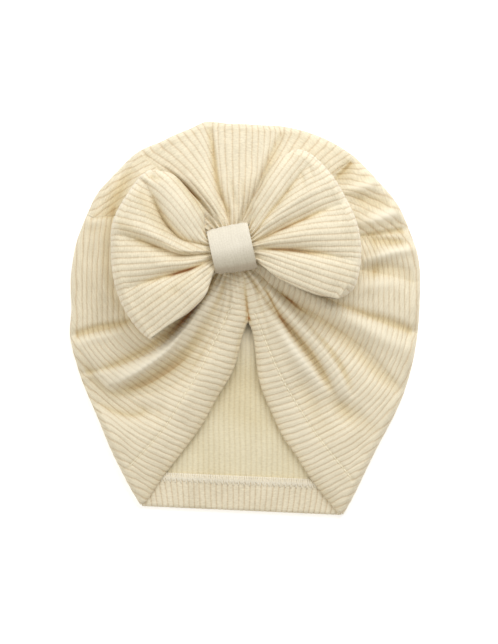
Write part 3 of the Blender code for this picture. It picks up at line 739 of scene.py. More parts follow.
def local_pitch(points: Array, across: Array) -> Array:
    """How wide the ribs lie on a grid, as a share of their own width: one over the slope of across.

    Args:
        points: the grid's points.
        across: the distance across the ribs at each.

    Returns:
        The share at each point.
    """
    down, right = np.gradient(points, axis=0), np.gradient(points, axis=1)
    by_row, by_column = np.gradient(across, axis=0), np.gradient(across, axis=1)
    aa, ab, bb = (down * down).sum(-1), (down * right).sum(-1), (right * right).sum(-1)
    area = np.maximum(aa * bb - ab * ab, 1e-9)
    slope = (bb * by_row**2 - 2 * ab * by_row * by_column + aa * by_column**2) / area
    return 1 / np.sqrt(np.maximum(slope, 1e-6))


def rib_sink(points: Array, across: Array, depth: float) -> Array:
    """How far the grooves between the ribs sink: a raised cosine over each rib, less where it is squeezed."""
    squeezed = np.clip(local_pitch(points, across), 0.0, 1.0)
    return depth * squeezed * 0.5 * (1 + np.cos(2 * np.pi * across / RIB_PITCH))


@dataclass
class Sheet:
    """A closed sheet of cloth between a fine outer grid and a coarser inner one, joined along its free edges.

    Attributes:
        outer: the outer face's points, rows by columns by 3.
        inner: the inner face's points, one for each picked row and column.
        rows: the outer rows that the inner rows belong to.
        columns: the outer columns that the inner columns belong to.
        across: the distance across the ribs at the two ends of each cell's row edge, rows by cells by 2.
        along: the distance along the ribs at each outer point.
        hollow: how deep in a fold each outer point lies, from -1 on a crest, over 1 in a valley, to 3. It
            sets
        the painted shade in valleys and creases and the painted highlight on crests.
        ring: whether the last row joins the first.
    """

    outer: Array
    inner: Array
    rows: Array
    columns: Array
    across: Array
    along: Array
    hollow: Array
    ring: bool = False

    def wall(self, path: Array, inner: Array, picks: Array, forward: bool) -> list:
        """Polygons between an edge of the outer face and the same edge of the inner face.

        Args:
            path: the outer points along the edge, as indices.
            inner: the inner points along the edge, as indices.
            picks: where in the path each inner point belongs.
            forward: whether the outer edge is walked from its start.

        Returns:
            One polygon for each inner step.
        """
        polygons = []
        for k in range(len(picks) - 1):
            stretch = path[picks[k] : picks[k + 1] + 1]
            ends = (inner[k + 1], inner[k])
            polygons.append([*stretch, *ends] if forward else [*stretch[::-1], *ends[::-1]])
        return polygons

    def faces(self) -> tuple:
        """The outer and inner quads and the walls, as indices of points."""
        rows, columns = self.outer.shape[:2]
        outer = np.arange(rows * columns).reshape(rows, columns)
        inner_rows, inner_columns = self.inner.shape[:2]
        inner = np.arange(inner_rows * inner_columns).reshape(inner_rows, inner_columns) + outer.size
        picks = self.rows
        if self.ring:
            outer, inner = np.vstack([outer, outer[:1]]), np.vstack([inner, inner[:1]])
            picks = np.append(self.rows, rows)
        skin = quads(outer)
        lining = quads(inner)[:, [0, 3, 2, 1]]
        walls = self.wall(outer[:, 0], inner[:, 0], picks, False)
        walls += self.wall(outer[:, -1], inner[:, -1], picks, True)
        if not self.ring:
            walls += self.wall(outer[0], inner[0], self.columns, True)
            walls += self.wall(outer[-1], inner[-1], self.columns, False)
        return skin, lining, walls

    def make(self, name: str, material: Material) -> Object:
        """Makes the sheet's mesh object, with a UV map of rib number and distance along the ribs.

        Args:
            name: the object's name.
            material: its finish.

        Returns:
            The new object, with its faces pointing out.
        """
        skin, lining, walls = self.faces()
        points = np.concatenate([self.outer.reshape(-1, 3), self.inner.reshape(-1, 3)]) * MM
        loops = np.concatenate([skin.ravel(), lining.ravel(), np.concatenate([np.array(w) for w in walls])])
        sizes = np.concatenate([np.full(len(skin) + len(lining), 4), [len(w) for w in walls]])
        mesh = new_mesh(name, points, loops, sizes)
        picked = np.ix_(self.rows, self.columns)

        def everywhere(values: Array) -> Array:
            """The values of the outer points, then those that the inner points take over from them."""
            return np.concatenate([values.ravel(), values[picked].ravel()])

        cells = self.across / RIB_PITCH
        number = everywhere(np.concatenate([cells[:, :, 0], cells[:, -1:, 1]], axis=1))
        uv = np.stack([number[loops], everywhere(self.along)[loops]], axis=-1)
        below = np.vstack([cells, cells[:1]]) if self.ring else cells
        first, last = below[:-1], below[1:]
        corners = np.stack([first[..., 0], last[..., 0], last[..., 1], first[..., 1]], axis=-1)
        uv[: skin.size, 0] = corners.reshape(-1)
        layer = mesh.uv_layers.new(name=CLOTH_UV)
        layer.data.foreach_set("uv", uv.astype(np.float32).ravel())
        # The painted shade and highlight of each point, stored as an attribute that the finish reads
        depth = everywhere(self.hollow).astype(np.float32)
        mesh.attributes.new(PAINTED_SHADING_ATTRIBUTE, "FLOAT", "POINT").data.foreach_set("value", depth)
        return new_object(name, mesh, material)


def new_mesh(name: str, points: Array, loops: Array, sizes: Array) -> Mesh:
    """Makes a smooth-shaded mesh from whole arrays.

    Args:
        name: the mesh's name.
        points: its points in metres.
        loops: the point of each corner, face after face.
        sizes: how many corners each face has.

    Returns:
        The new mesh.
    """
    mesh = bpy.data.meshes.new(name)
    mesh.vertices.add(len(points))
    mesh.vertices.foreach_set("co", np.asarray(points, np.float32).ravel())
    mesh.loops.add(len(loops))
    mesh.loops.foreach_set("vertex_index", np.asarray(loops, np.int32))
    mesh.polygons.add(len(sizes))
    mesh.polygons.foreach_set("loop_start", np.concatenate([[0], np.cumsum(sizes)[:-1]]).astype(np.int32))
    mesh.update(calc_edges=True)
    mesh.validate()
    mesh.shade_smooth()
    return mesh


def new_object(name: str, mesh: Mesh, material: Material) -> Object:
    """Puts a mesh into the scene with one material, its faces flipped if its volume comes out negative.

    Args:
        name: the object's name.
        mesh: its mesh.
        material: its finish.

    Returns:
        The new object.
    """
    mesh.calc_loop_triangles()
    triangles = np.empty(len(mesh.loop_triangles) * 3, np.int32)
    mesh.loop_triangles.foreach_get("vertices", triangles)
    points = np.empty(len(mesh.vertices) * 3, np.float32)
    mesh.vertices.foreach_get("co", points)
    a, b, c = points.reshape(-1, 3).astype(float)[triangles.reshape(-1, 3)].transpose(1, 0, 2)
    if np.einsum("ij,ij->i", a, np.cross(b, c)).sum() < 0:
        mesh.flip_normals()
    mesh.materials.append(material)
    return linked(name, mesh)


def linked(name: str, data: bpy.types.ID) -> Object:
    """Puts an object with this mesh, light or camera into the scene."""
    made = bpy.data.objects.new(name, data)
    bpy.context.scene.collection.objects.link(made)
    return made


def spaced_picks(count: int, every: int) -> Array:
    """Indices from 0 to count - 1, about every so many, with both ends among them."""
    return np.unique(np.round(np.linspace(0, count - 1, max(2, (count - 1) // every + 1))).astype(int))


def tubes(paths: Array, radius: float, sides: int = 6) -> tuple:
    """Many closed tubes of one size at once, each round its own path.

    A tube's ring at a path point lies in the plane across the path, and its two ends narrow to a small cap.
    The side of a ring is taken from a direction a little off upright, so that an upright path has one too.

    Args:
        paths: the paths' points, tubes by points by 3.
        radius: the tubes' radius.
        sides: how many sides a ring has.

    Returns:
        The points, corners and face sizes of all the tubes.
    """
    count, steps = paths.shape[:2]
    along = np.gradient(paths, axis=1)
    along /= np.linalg.norm(along, axis=-1)[..., None]
    up = np.broadcast_to(np.array([0.0, 0.0, 1.0]), along.shape)
    side = np.cross(along, up + 1e-3)
    side /= np.linalg.norm(side, axis=-1)[..., None]
    lift = np.cross(side, along)
    turn = np.linspace(0, 2 * np.pi, sides, endpoint=False)
    size = np.ones(steps)
    size[[0, -1]] = TUBE_END
    ring = np.cos(turn)[:, None] * side[:, :, None] + np.sin(turn)[:, None] * lift[:, :, None]
    points = paths[:, :, None] + radius * size[:, None, None] * ring
    index = np.arange(steps * sides).reshape(steps, sides)
    after = np.roll(index, -1, axis=1)
    quads = np.stack([index[:-1], after[:-1], after[1:], index[1:]], axis=-1).reshape(-1, 4)
    one = np.concatenate([quads.ravel(), index[0, ::-1], index[-1]])
    loops = (one[None] + np.arange(count)[:, None] * steps * sides).ravel()
    sizes = np.tile(np.concatenate([np.full(len(quads), 4), [sides, sides]]), count)
    return points.reshape(-1, 3), loops, sizes


class Side(Enum):
    """The side of the V that a hem lies on, as the sign of the angle from its edge into the cap."""

    LEFT = 1
    RIGHT = -1


@dataclass(frozen=True)
class RibCloth:
    """A rib velour: rounded wales with narrow, warmer grooves between them, and a soft, mottled nap.

    A groove fades out over groove_share of a rib's width on either side of its line. The relief is in
    metres. Light and shade are painted in by the hollow attribute: in a valley the colour takes on the
    painted shade fold, in the depth of a crease the darker painted shade crease, and a crest gets crest, a
    paler painted sheen. The tint crease shows by the hollow times the first of crease_ramp, plus the second.
    """

    name: str
    wale: tuple
    groove: tuple
    groove_share: float = 0.26
    groove_strength: float = 0.57
    relief: float = 0.00016
    nap: float = 0.24
    sheen: float = 0.45
    # Painted shading: fold and crease are painted shade for valleys and creases, crest a painted highlight
    fold: tuple = (0.82, 0.75, 0.585, 1.0)
    valley_shade_strength: float = 0.75
    crease: tuple = (0.58, 0.34, 0.21, 1.0)
    crease_ramp: tuple = (0.85, -0.9)
    crest: tuple = (0.95, 0.875, 0.70, 1.0)
    crest_highlight_strength: float = 0.55
    roughness: float = 0.92
    sheen_roughness: float = 0.45
    specular: float = 0.2

    def material(self) -> Material:
        """Builds the finish from the rib and nap groups. Its even values go on the shader's own sockets."""
        values = {"Roughness": self.roughness, "Sheen Weight": self.sheen}
        values |= {"Sheen Roughness": self.sheen_roughness, "Specular IOR Level": self.specular}
        material, tree, shader = new_finish(self.name, values)
        place = tree.nodes.new("ShaderNodeTexCoord").outputs["Object"]
        cloth = tree.nodes.new("ShaderNodeUVMap")
        cloth.uv_map = CLOTH_UV
        ribs = group_node(tree, rib_group(), {"Groove Share": self.groove_share})
        nap = group_node(tree, nap_group(), {"Strength": self.nap})
        tree.links.new(cloth.outputs["UV"], ribs.inputs["Cloth"])
        tree.links.new(place, ribs.inputs["Place"])
        tree.links.new(place, nap.inputs["Place"])
        tree.links.new(cloth.outputs["UV"], nap.inputs["Cloth"])
        strength = math_node(tree, "MULTIPLY", ribs.outputs["Groove"], self.groove_strength)
        colour = colour_mix(tree, "MIX", strength, self.wale, self.groove)
        shaded = colour_mix(tree, "MULTIPLY", 1.0, colour, nap.outputs["Tint"])
        # Painted shade in valleys and creases and a painted highlight on crests, read from the hollow
        # attribute
        hollow = tree.nodes.new("ShaderNodeAttribute")
        hollow.attribute_name = PAINTED_SHADING_ATTRIBUTE
        depth = math_node(tree, "MULTIPLY", hollow.outputs["Fac"], self.valley_shade_strength, clamp=True)
        shaded = colour_mix(tree, "MULTIPLY", depth, shaded, self.fold)
        deepest = math_node(tree, "MULTIPLY_ADD", hollow.outputs["Fac"], *self.crease_ramp, clamp=True)
        shaded = colour_mix(tree, "MULTIPLY", deepest, shaded, self.crease)
        crest = math_node(tree, "MULTIPLY", hollow.outputs["Fac"], -self.crest_highlight_strength, clamp=True)
        shaded = colour_mix(tree, "MIX", crest, shaded, self.crest)
        height = math_node(tree, "ADD", ribs.outputs["Height"], nap.outputs["Height"])
        dress(tree, shader, shaded, height, self.relief)
        return material


@dataclass(frozen=True)
class Thread:
    """A matt sewing thread."""

    name: str
    colour: tuple
    roughness: float = 0.7
    sheen: float = 0.2
    nap: float = 0.15
    relief: float = 0.0001

    def material(self) -> Material:
        """Builds the thread's finish, with a fine fuzz in its bump."""
        values = {"Roughness": self.roughness, "Sheen Weight": self.sheen}
        material, tree, shader = new_finish(self.name, values)
        nap = group_node(tree, nap_group(), {"Strength": self.nap})
        tree.links.new(tree.nodes.new("ShaderNodeTexCoord").outputs["Object"], nap.inputs["Place"])
        shaded = colour_mix(tree, "MULTIPLY", 1.0, self.colour, nap.outputs["Tint"])
        dress(tree, shader, shaded, nap.outputs["Height"], self.relief)
        return material


def fill(node: Node, values: dict) -> None:
    """Sets the named inputs of a node to these values."""
    for name, value in values.items():
        node.inputs[name].default_value = value


def new_finish(name: str, values: dict) -> tuple:
    """Makes a material whose shader has these values, and returns it with its node tree and its shader."""
    material = bpy.data.materials.new(name)
    material.use_nodes = True
    shader = material.node_tree.nodes["Principled BSDF"]
    fill(shader, values)
    return material, material.node_tree, shader


def dress(tree: Tree, shader: Node, colour: Socket, height: Socket, relief: float) -> None:
    """Gives a shader its colour, and a bump of so many metres from a height."""
    tree.links.new(colour, shader.inputs["Base Color"])
    bump = tree.nodes.new("ShaderNodeBump")
    fill(bump, {"Distance": relief})
    tree.links.new(height, bump.inputs["Height"])
    tree.links.new(bump.outputs["Normal"], shader.inputs["Normal"])


def feed(tree: Tree, slot: Socket, value: Operand) -> None:
    """Links another node's socket to a slot, or sets the slot to a number or a colour."""
    if isinstance(value, Socket):
        tree.links.new(value, slot)
    elif value is not None:
        slot.default_value = value


def group_node(tree: Tree, group: Tree, values: dict) -> Node:
    """Places a node group in a material, with its own values."""
    node = tree.nodes.new("ShaderNodeGroup")
    node.node_tree = group
    fill(node, values)
    return node


def math_node(
    tree: Tree,
    operation: str,
    first: Operand,
    second: Operand = 0.0,
    third: Operand = None,
    clamp: bool = False,
) -> Socket:
    """Adds a Math node, each of whose operands is a number or a socket.

    Args:
        tree: the node tree.
        operation: what it works out.
        first: its first operand.
        second: its second operand.
        third: its third operand, if it has one.
        clamp: whether its result is held from 0 to 1.

    Returns:
        Its output.
    """
    node = tree.nodes.new("ShaderNodeMath")
    node.operation = operation
    node.use_clamp = clamp
    for slot, value in zip(node.inputs, (first, second, third)):
        feed(tree, slot, value)
    return node.outputs[0]


def colour_mix(tree: Tree, blend: str, factor: Operand, first: Operand, second: Operand) -> Socket:
    """Adds a colour Mix node, each of whose operands is a value or a socket.

    Args:
        tree: the node tree.
        blend: how it mixes.
        factor: how much of the second colour it takes.
        first: the first colour.
        second: the second colour.

    Returns:
        Its output.
    """
    node = tree.nodes.new("ShaderNodeMix")
    node.data_type = "RGBA"
    node.blend_type = blend
    for slot, value in ((0, factor), (6, first), (7, second)):
        feed(tree, node.inputs[slot], value)
    return node.outputs[2]


@dataclass(frozen=True)
class Grain:
    """A noise in a finish: its waves for each unit of its coordinates, its detail, and its weight."""

    scale: float
    detail: float
    amount: float = 1.0


def noise_node(tree: Tree, place: Socket, grain: Grain) -> Socket:
    """Adds a Noise node over the given places and returns its value."""
    node = tree.nodes.new("ShaderNodeTexNoise")
    fill(node, {"Scale": grain.scale, "Detail": grain.detail})
    tree.links.new(place, node.inputs["Vector"])
    return node.outputs["Fac"]


def new_group(name: str, inputs: dict, outputs: dict) -> tuple:
    """Makes an empty shader group, or finds it.

    Args:
        name: the group's name.
        inputs: its inputs' names, each with its kind of socket.
        outputs: its outputs' names, each with its kind of socket.

    Returns:
        The group, its input node and its output node, or the group and two Nones if it was there already.
    """
    if name in bpy.data.node_groups:
        return bpy.data.node_groups[name], None, None
    group = bpy.data.node_groups.new(name, "ShaderNodeTree")
    for way, sockets in (("INPUT", inputs), ("OUTPUT", outputs)):
        for socket, kind in sockets.items():
            group.interface.new_socket(socket, in_out=way, socket_type="NodeSocket" + kind)
    return group, group.nodes.new("NodeGroupInput"), group.nodes.new("NodeGroupOutput")


RIB_WAVE = Grain(120.0, 2.0, 0.22)
RIB_FUZZ = Grain(1500.0, 3.0, 0.24)
GROOVE_DIP = -0.5
WALE_HEIGHT = 0.6
NAP_BROAD = Grain(90.0, 3.0)
NAP_FINE = Grain(1400.0, 4.0)
NAP_STREAK = Grain(1.3, 2.0, 1.6)
NAP_HEIGHT = 0.5
NAP_GREEN_POWER = 1.08
NAP_BLUE_POWER = 1.25


def rib_group() -> Tree:
    """The ribs: a groove mask and a rounded height from the rib number, with wavy and fuzzy edges."""
    group, given, result = new_group(
        "ribs",
        {"Cloth": "Vector", "Place": "Vector", "Groove Share": "Float"},
        {"Groove": "Float", "Height": "Float"},
    )
    if given is None:
        return group
    split = group.nodes.new("ShaderNodeSeparateXYZ")
    group.links.new(given.outputs["Cloth"], split.inputs[0])
    moved = split.outputs["X"]
    for grain in (RIB_WAVE, RIB_FUZZ):
        noise = noise_node(group, given.outputs["Place"], grain)
        moved = math_node(group, "MULTIPLY_ADD", noise, grain.amount, moved)
    middle = (RIB_WAVE.amount + RIB_FUZZ.amount) / 2
    part = math_node(group, "FRACT", math_node(group, "SUBTRACT", moved, middle))
    off = math_node(group, "ABSOLUTE", math_node(group, "SUBTRACT", part, 0.5))
    edge = math_node(group, "SUBTRACT", 0.5, off)
    near = math_node(group, "DIVIDE", edge, given.outputs["Groove Share"], clamp=True)
    smooth = math_node(group, "MULTIPLY", near, math_node(group, "SUBTRACT", 2.0, near))
    groove = math_node(group, "SUBTRACT", 1.0, smooth)
    group.links.new(groove, result.inputs["Groove"])
    arch = math_node(group, "SINE", math_node(group, "MULTIPLY", edge, math.pi))
    wale = math_node(group, "MULTIPLY", arch, WALE_HEIGHT)
    height = math_node(group, "MULTIPLY_ADD", groove, GROOVE_DIP, wale)
    group.links.new(height, result.inputs["Height"])
    return group


def nap_group() -> Tree:
    """The nap: a tint that mottles the colour at two sizes and streaks it across the ribs, and a height."""
    group, given, result = new_group(
        "nap",
        {"Place": "Vector", "Cloth": "Vector", "Strength": "Float"},
        {"Tint": "Color", "Height": "Float"},
    )
    if given is None:
        return group
    broad = noise_node(group, given.outputs["Place"], NAP_BROAD)
    fine = noise_node(group, given.outputs["Place"], NAP_FINE)
    streak = noise_node(group, given.outputs["Cloth"], NAP_STREAK)
    both = math_node(group, "ADD", broad, fine)
    total = math_node(group, "MULTIPLY_ADD", streak, NAP_STREAK.amount, both)
    middle = (NAP_BROAD.amount + NAP_FINE.amount + NAP_STREAK.amount) / 2
    centred = math_node(group, "SUBTRACT", total, middle)
    shade = math_node(group, "MULTIPLY_ADD", centred, given.outputs["Strength"], 1.0)
    tint = group.nodes.new("ShaderNodeCombineColor")
    group.links.new(shade, tint.inputs[0])
    group.links.new(math_node(group, "POWER", shade, NAP_GREEN_POWER), tint.inputs[1])
    group.links.new(math_node(group, "POWER", shade, NAP_BLUE_POWER), tint.inputs[2])
    group.links.new(tint.outputs[0], result.inputs["Tint"])
    group.links.new(math_node(group, "MULTIPLY", fine, NAP_HEIGHT), result.inputs["Height"])
    return group


VELOUR = RibCloth("cream_rib_velour", (0.85, 0.765, 0.575, 1.0), (0.62, 0.44, 0.24, 1.0))
VELOUR_BACK = RibCloth(
    "velour_reverse",
    (0.84, 0.76, 0.54, 1.0),
    (0.68, 0.56, 0.34, 1.0),
    groove_share=0.4,
    groove_strength=0.5,
    relief=0.0001,
    nap=0.16,
    sheen=0.1,
)
# The band's fold tint paints the shade on its lower turn
BAND_KNIT = RibCloth(
    "band_knit",
    (0.80, 0.745, 0.62, 1.0),
    (0.62, 0.55, 0.42, 1.0),
    groove_share=0.45,
    groove_strength=0.2,
    relief=0.00003,
    nap=0.14,
    sheen=0.5,
    fold=(0.72, 0.705, 0.65, 1.0),
)
SEWING_THREAD = Thread("seam_thread", (0.95, 0.88, 0.68, 1.0))
OVERLOCK_THREAD = Thread("overlock_thread", (0.92, 0.85, 0.69, 1.0))


def lowest_near(heights: Array, rows: Array, columns: Array, reach: int) -> Array:
    """The lowest height round each picked point of a grid.

    Args:
        heights: the grid's heights.
        rows: the picked rows.
        columns: the picked columns.
        reach: how many rows and columns are looked at on each side.

    Returns:
        The lowest height, rows by columns.
    """
    low = np.full((len(rows), len(columns)), np.inf)
    for i in range(-reach, reach + 1):
        near_rows = np.clip(rows + i, 0, heights.shape[0] - 1)
        for j in range(-reach, reach + 1):
            near_columns = np.clip(columns + j, 0, heights.shape[1] - 1)
            low = np.minimum(low, heights[np.ix_(near_rows, near_columns)])
    return low


@dataclass(frozen=True)
class RibFit:
    """The coarse grid on which the ribs of a run of pleats are fitted.

    Its rows run from the reach start to the outer edge, and it has so many columns for each pleat. Up to the
    reach lie_near the ribs keep their lie near the knot. The evenness is how much an even width counts beside
    a true direction.
    """

    start: float
    rows: int
    lie_near: float
    evenness: float
    columns: int = 8

    def across(self, plan: Callable, lies: tuple, run: tuple, reach: Array, places: Array) -> Array:
        """The distance across the ribs over a run of pleats, fitted on the coarse grid, read on the fine one.

        Args:
            plan: a function that gives the points seen from above, for rows and columns.
            lies: how the ribs lie in each pleat.
            run: the run's first and last crease.
            reach: the fine grid's rows.
            places: the fine grid's columns, counted in creases.

        Returns:
            The distance at each point of the fine grid.
        """
        first, last = run
        rows = np.linspace(self.start, 1, self.rows)
        columns = np.linspace(first, last, (last - first) * self.columns + 1)
        middle = (columns[:-1] + columns[1:]) / 2
        pleat = middle.astype(int)
        share = middle - pleat
        far = np.clip(((rows[:-1] + rows[1:]) / 2 - self.lie_near) / (1 - self.lie_near), 0, 1)[:, None]
        starts, ends = (np.array([getattr(lie, side) for lie in lies])[pleat] for side in ("first", "last"))
        lie = starts.T * (1 - share) + ends.T * share
        across = fit_ribs(plan(rows, columns), lie[0] * (1 - far) + lie[1] * far, self.evenness)
        rows_at = np.clip((reach - self.start) / (1 - self.start), 0, 1) * (self.rows - 1)
        return resample(across, rows_at, np.clip(places - first, 0, last - first) * self.columns)


@dataclass
class CapPanel:
    """A run of the cap's pleats, from the knot over the front and round the rim to the surface below.

    It goes from crease first to crease last, which are rows of CAP_PLEATS, and over each of its runs the ribs
    go on unbroken. Where edge_first or edge_last says so, that side is an edge of the V, which rolls under by
    edge_turn degrees. It is drawn in by edge_shares of the roll's radius at edge_reaches, and by no more than
    edge_limit of the pleat beside it. The rows at the reaches under_knot close the gather under the knot, and
    beside a seam the ribs rise over the distance flat_near_crease.
    """

    name: str
    first: int
    last: int
    runs: tuple
    edge_first: bool = False
    edge_last: bool = False
    under_knot: tuple = (-0.9, -0.6, -0.3)
    edge_radius: float = 1.5
    edge_turn: float = 150.0
    edge_steps: int = 6
    edge_reaches: tuple = (0.2, 0.27)
    edge_shares: tuple = (0.3, 1.0)
    edge_limit: float = 0.4
    rim_steps: int = 12
    inner_every: int = 5
    rib_depth: float = 0.12
    flat_near_crease: float = 1.4
    fit: RibFit = RibFit(0.06, 16, 0.35, 0.35)
    rib_wander: SoftNoise = SoftNoise(0.22, 24.0, 5)

    def places(self) -> Array:
        """Columns evenly spaced along the rim and counted in creases. Each crease is a column of its own."""
        steps = [np.array([float(self.first)])]
        for crease in range(self.first, self.last):
            ends = np.array([CAP_PLEATS[crease].angles[-1], CAP_PLEATS[crease + 1].angles[-1]])
            length = np.linalg.norm(np.diff(around_knot(ends, RIM.radius(ends)), axis=0))
            count = max(8, int(length / GRID_STEP))
            steps.append(crease + np.arange(1, count + 1) / count)
        return np.concatenate(steps)

    def plan(self, reach: Array, places: Array) -> tuple:
        """The front's points seen from above, and the rim's outward normals.

        Each point lies on its crease's curve at its reach. An edge of the V is drawn in by its roll's radius.

        Args:
            reach: the rows, from 0 where the pleats start to 1 at the rim, and below 0 under the knot.
            places: the columns, counted in creases.

        Returns:
            The points, rows by columns by 2, and the normals, columns by 2.
        """
        creases = crease_angles(CAP_PLEATS, reach)
        angle = between(creases, places)
        outside = np.maximum(reach, 0)[:, None]
        rough = HUB_START + outside * (RIM.radius(angle[-1]) - RIM_RADIUS - HUB_START)
        opened = read_table(self.edge_reaches, self.edge_shares, reach[:, None])
        drawn_in = np.degrees(self.edge_radius / rough) * opened
        if self.edge_first:
            limit = self.edge_limit * (creases[:, 1:2] - angle[:, :1])
            angle = angle + np.minimum(drawn_in, limit) * np.clip(1 - (places - self.first), 0, 1)
        if self.edge_last:
            limit = self.edge_limit * (angle[:, -1:] - creases[:, self.last - 1 : self.last])
            angle = angle - np.minimum(drawn_in, limit) * np.clip(places - (self.last - 1), 0, 1)
        at_rim = angle[-1]
        normal = RIM.outward(at_rim)
        seat = around_knot(at_rim, RIM.radius(at_rim)) - RIM_RADIUS * normal
        seat_angle, seat_radius = seen_from_knot(seat)
        turned = angle + outside**2 * (seat_angle - at_rim)
        inside = np.minimum(reach, 0)[:, None]
        radius = HUB_START * (1 + inside) + outside * (seat_radius - HUB_START)
        return around_knot(turned, radius), normal

    def seen(self, reach: Array, places: Array) -> Array:
        """The front's points alone, seen from above."""
        return self.plan(reach, places)[0]

    def rolled_edge(self, grid: Array) -> Array:
        """The columns that roll a grid's last column under: part of a circle across the edge.

        Args:
            grid: the panel's points, the edge last.

        Returns:
            The new columns' points.
        """
        edge, inside = grid[:, -1], grid[:, -5]
        along = np.gradient(edge, axis=0)
        along /= np.maximum(np.linalg.norm(along, axis=-1), 1e-9)[:, None]
        out = edge - inside
        out -= (out * along).sum(-1)[:, None] * along
        out[:, 2] = 0
        out /= np.maximum(np.linalg.norm(out, axis=-1), 1e-9)[:, None]
        turn = np.radians(90 - self.edge_turn * np.arange(1, self.edge_steps + 1) / self.edge_steps)[:, None]
        points = edge[:, None] + self.edge_radius * np.cos(turn) * out[:, None]
        points[..., 2] += self.edge_radius * (np.sin(turn[:, 0]) - 1)
        return points

    def make(self) -> Sheet:
        """Works out the panel's sheet: front, rim and rolled edges, with its ribs sunk into the front."""
        places = self.places()
        longest = RIM.radius(between(crease_angles(CAP_PLEATS, np.ones(1)), places)).max() - HUB_START
        reach = np.concatenate([self.under_knot, np.linspace(0, 1, int(longest / GRID_STEP))])
        plan, normal = self.plan(reach, places)
        front = flat(plan, cap_height(plan))
        around = np.radians(np.linspace(90, -90, self.rim_steps + 1)[1:])[:, None]
        seat, top = plan[-1], front[-1, :, 2]
        rise = np.where(around > 0, top - RIM_RADIUS, RIM_RADIUS) * np.sin(around)
        rim = flat(seat + np.cos(around)[..., None] * RIM_RADIUS * normal, RIM_RADIUS + rise)
        grid = np.concatenate([front, rim])
        arc = np.pi * RIM_RADIUS * np.arange(1, self.rim_steps + 1)[:, None] / self.rim_steps
        cells = np.zeros((len(grid), len(places) - 1, 2))
        sink, hollow = np.zeros(grid.shape[:2]), np.zeros(grid.shape[:2])
        # Painted shade in the front's hollows and painted highlights on its crests, with the cap's painted
        # shade lines and highlights
        hollow[: len(reach)] = hollows(front[..., 2]) + fold_lift(plan, CAP_PAINTED_SHADING)
        for run in self.runs:
            inside = np.flatnonzero((places >= run[0] - 1e-6) & (places <= run[1] + 1e-6))
            across = self.fit.across(self.seen, CAP_LIES, run, reach, places[inside])
            across += self.rib_wander.at(plan[:, inside])
            step = np.linalg.norm(plan[-1, inside] - plan[-4, inside], axis=-1)
            slope = (across[-1] - across[-4]) / step
            across = np.concatenate([across, across[-1] + slope * arc])
            cells[:, inside[:-1]] = cell_ends(across)
            part = grid[:, inside]
            sink[:, inside] = rib_sink(part, across, self.rib_depth) * self.seamless(part, run)
        normals = surface_normals(grid)
        grid = grid + normals * (sink * np.sign(normals[: len(reach), :, 2].mean()) * -1)[..., None]
        grid, cells = self.with_edges(grid, cells)
        grid[..., 2] = np.maximum(grid[..., 2], 0.0)
        extra = (self.edge_steps * self.edge_first, self.edge_steps * self.edge_last)
        return self.sheet(grid, cells, len(reach), np.pad(hollow, ((0, 0), extra), mode="edge"))

    def seamless(self, grid: Array, run: tuple) -> Array:
        """How much of the ribs' relief is left over a run: none at the creases where it meets another run.

        Args:
            grid: the run's points.
            run: its first and last crease.

        Returns:
            The share left at each point.
        """
        share = np.ones(grid.shape[:2])
        for end, column, is_edge in ((run[0], 0, self.edge_first), (run[1], -1, self.edge_last)):
            if not (is_edge and end in (self.first, self.last)):
                away = np.linalg.norm(grid - grid[:, column : column + 1 or None], axis=-1)
                share *= np.clip(away / self.flat_near_crease, 0, 1)
        return share

    def with_edges(self, grid: Array, cells: Array) -> tuple:
        """Adds the rolled edges of the V to the grid and its ribs, which go on round the roll.

        Args:
            grid: the panel's points.
            cells: the distance across the ribs at the two ends of each cell's row edge.

        Returns:
            The wider grid and its cells.
        """
        whole = self.edge_radius * math.radians(self.edge_turn)
        arc = whole * np.arange(self.edge_steps + 1) / self.edge_steps
        for is_edge, way in ((self.edge_first, -1), (self.edge_last, 1)):
            if is_edge:
                grid, cells = grid[:, ::way], cells[:, ::way, ::way]
                step = np.linalg.norm(grid[:, -5] - grid[:, -1], axis=-1)
                slope = (cells[:, -1, 1] - cells[:, -4, 0]) / step
                rolled = cells[:, -1:, 1] + slope[:, None] * arc
                grid = np.concatenate([grid, self.rolled_edge(grid)], axis=1)[:, ::way]
                cells = np.concatenate([cells, cell_ends(rolled)], axis=1)[:, ::way, ::way]
        return grid, cells

    def sheet(self, grid: Array, cells: Array, front_rows: int, hollow: Array) -> Sheet:
        """Adds the inner face, which lies below the lowest of the outer face round each of its points.

        Args:
            grid: the outer face's points.
            cells: the distance across the ribs at the two ends of each cell's row edge.
            front_rows: how many of its rows lie on the front.
            hollow: how deep in a fold each of its points lies, which sets its painted shade and highlight.

        Returns:
            The closed sheet.
        """
        on_rim = front_rows + np.arange(2, self.rim_steps, 3)
        front_picks = spaced_picks(front_rows, self.inner_every)
        rows = np.unique(np.concatenate([front_picks, on_rim, [len(grid) - 1]]))
        start = self.edge_steps if self.edge_first else 0
        stop = grid.shape[1] - (self.edge_steps if self.edge_last else 0)
        own = start + spaced_picks(stop - start, self.inner_every)
        inner = grid[np.ix_(rows, own)].copy()
        on_front = rows < front_rows
        low = lowest_near(grid[:front_rows, start:stop, 2], rows[on_front], own - start, self.inner_every)
        inner[on_front, :, 2] = low - LINING_DEPTH
        in_by = inner[~on_front, :, :2] - grid[front_rows - 1, own, :2]
        inner[~on_front, :, :2] -= in_by * (CLOTH / RIM_RADIUS)
        height = inner[~on_front, :, 2]
        height = height - LINING_DEPTH * np.sign(height - RIM_RADIUS)
        inner[~on_front, :, 2] = np.maximum(height, LINING_DEPTH)
        columns = own.copy()
        columns[0], columns[-1] = 0, grid.shape[1] - 1
        distance = np.linalg.norm(grid[..., :2] - KNOT, axis=-1)
        return Sheet(grid, inner, rows, columns, cells, distance, hollow)


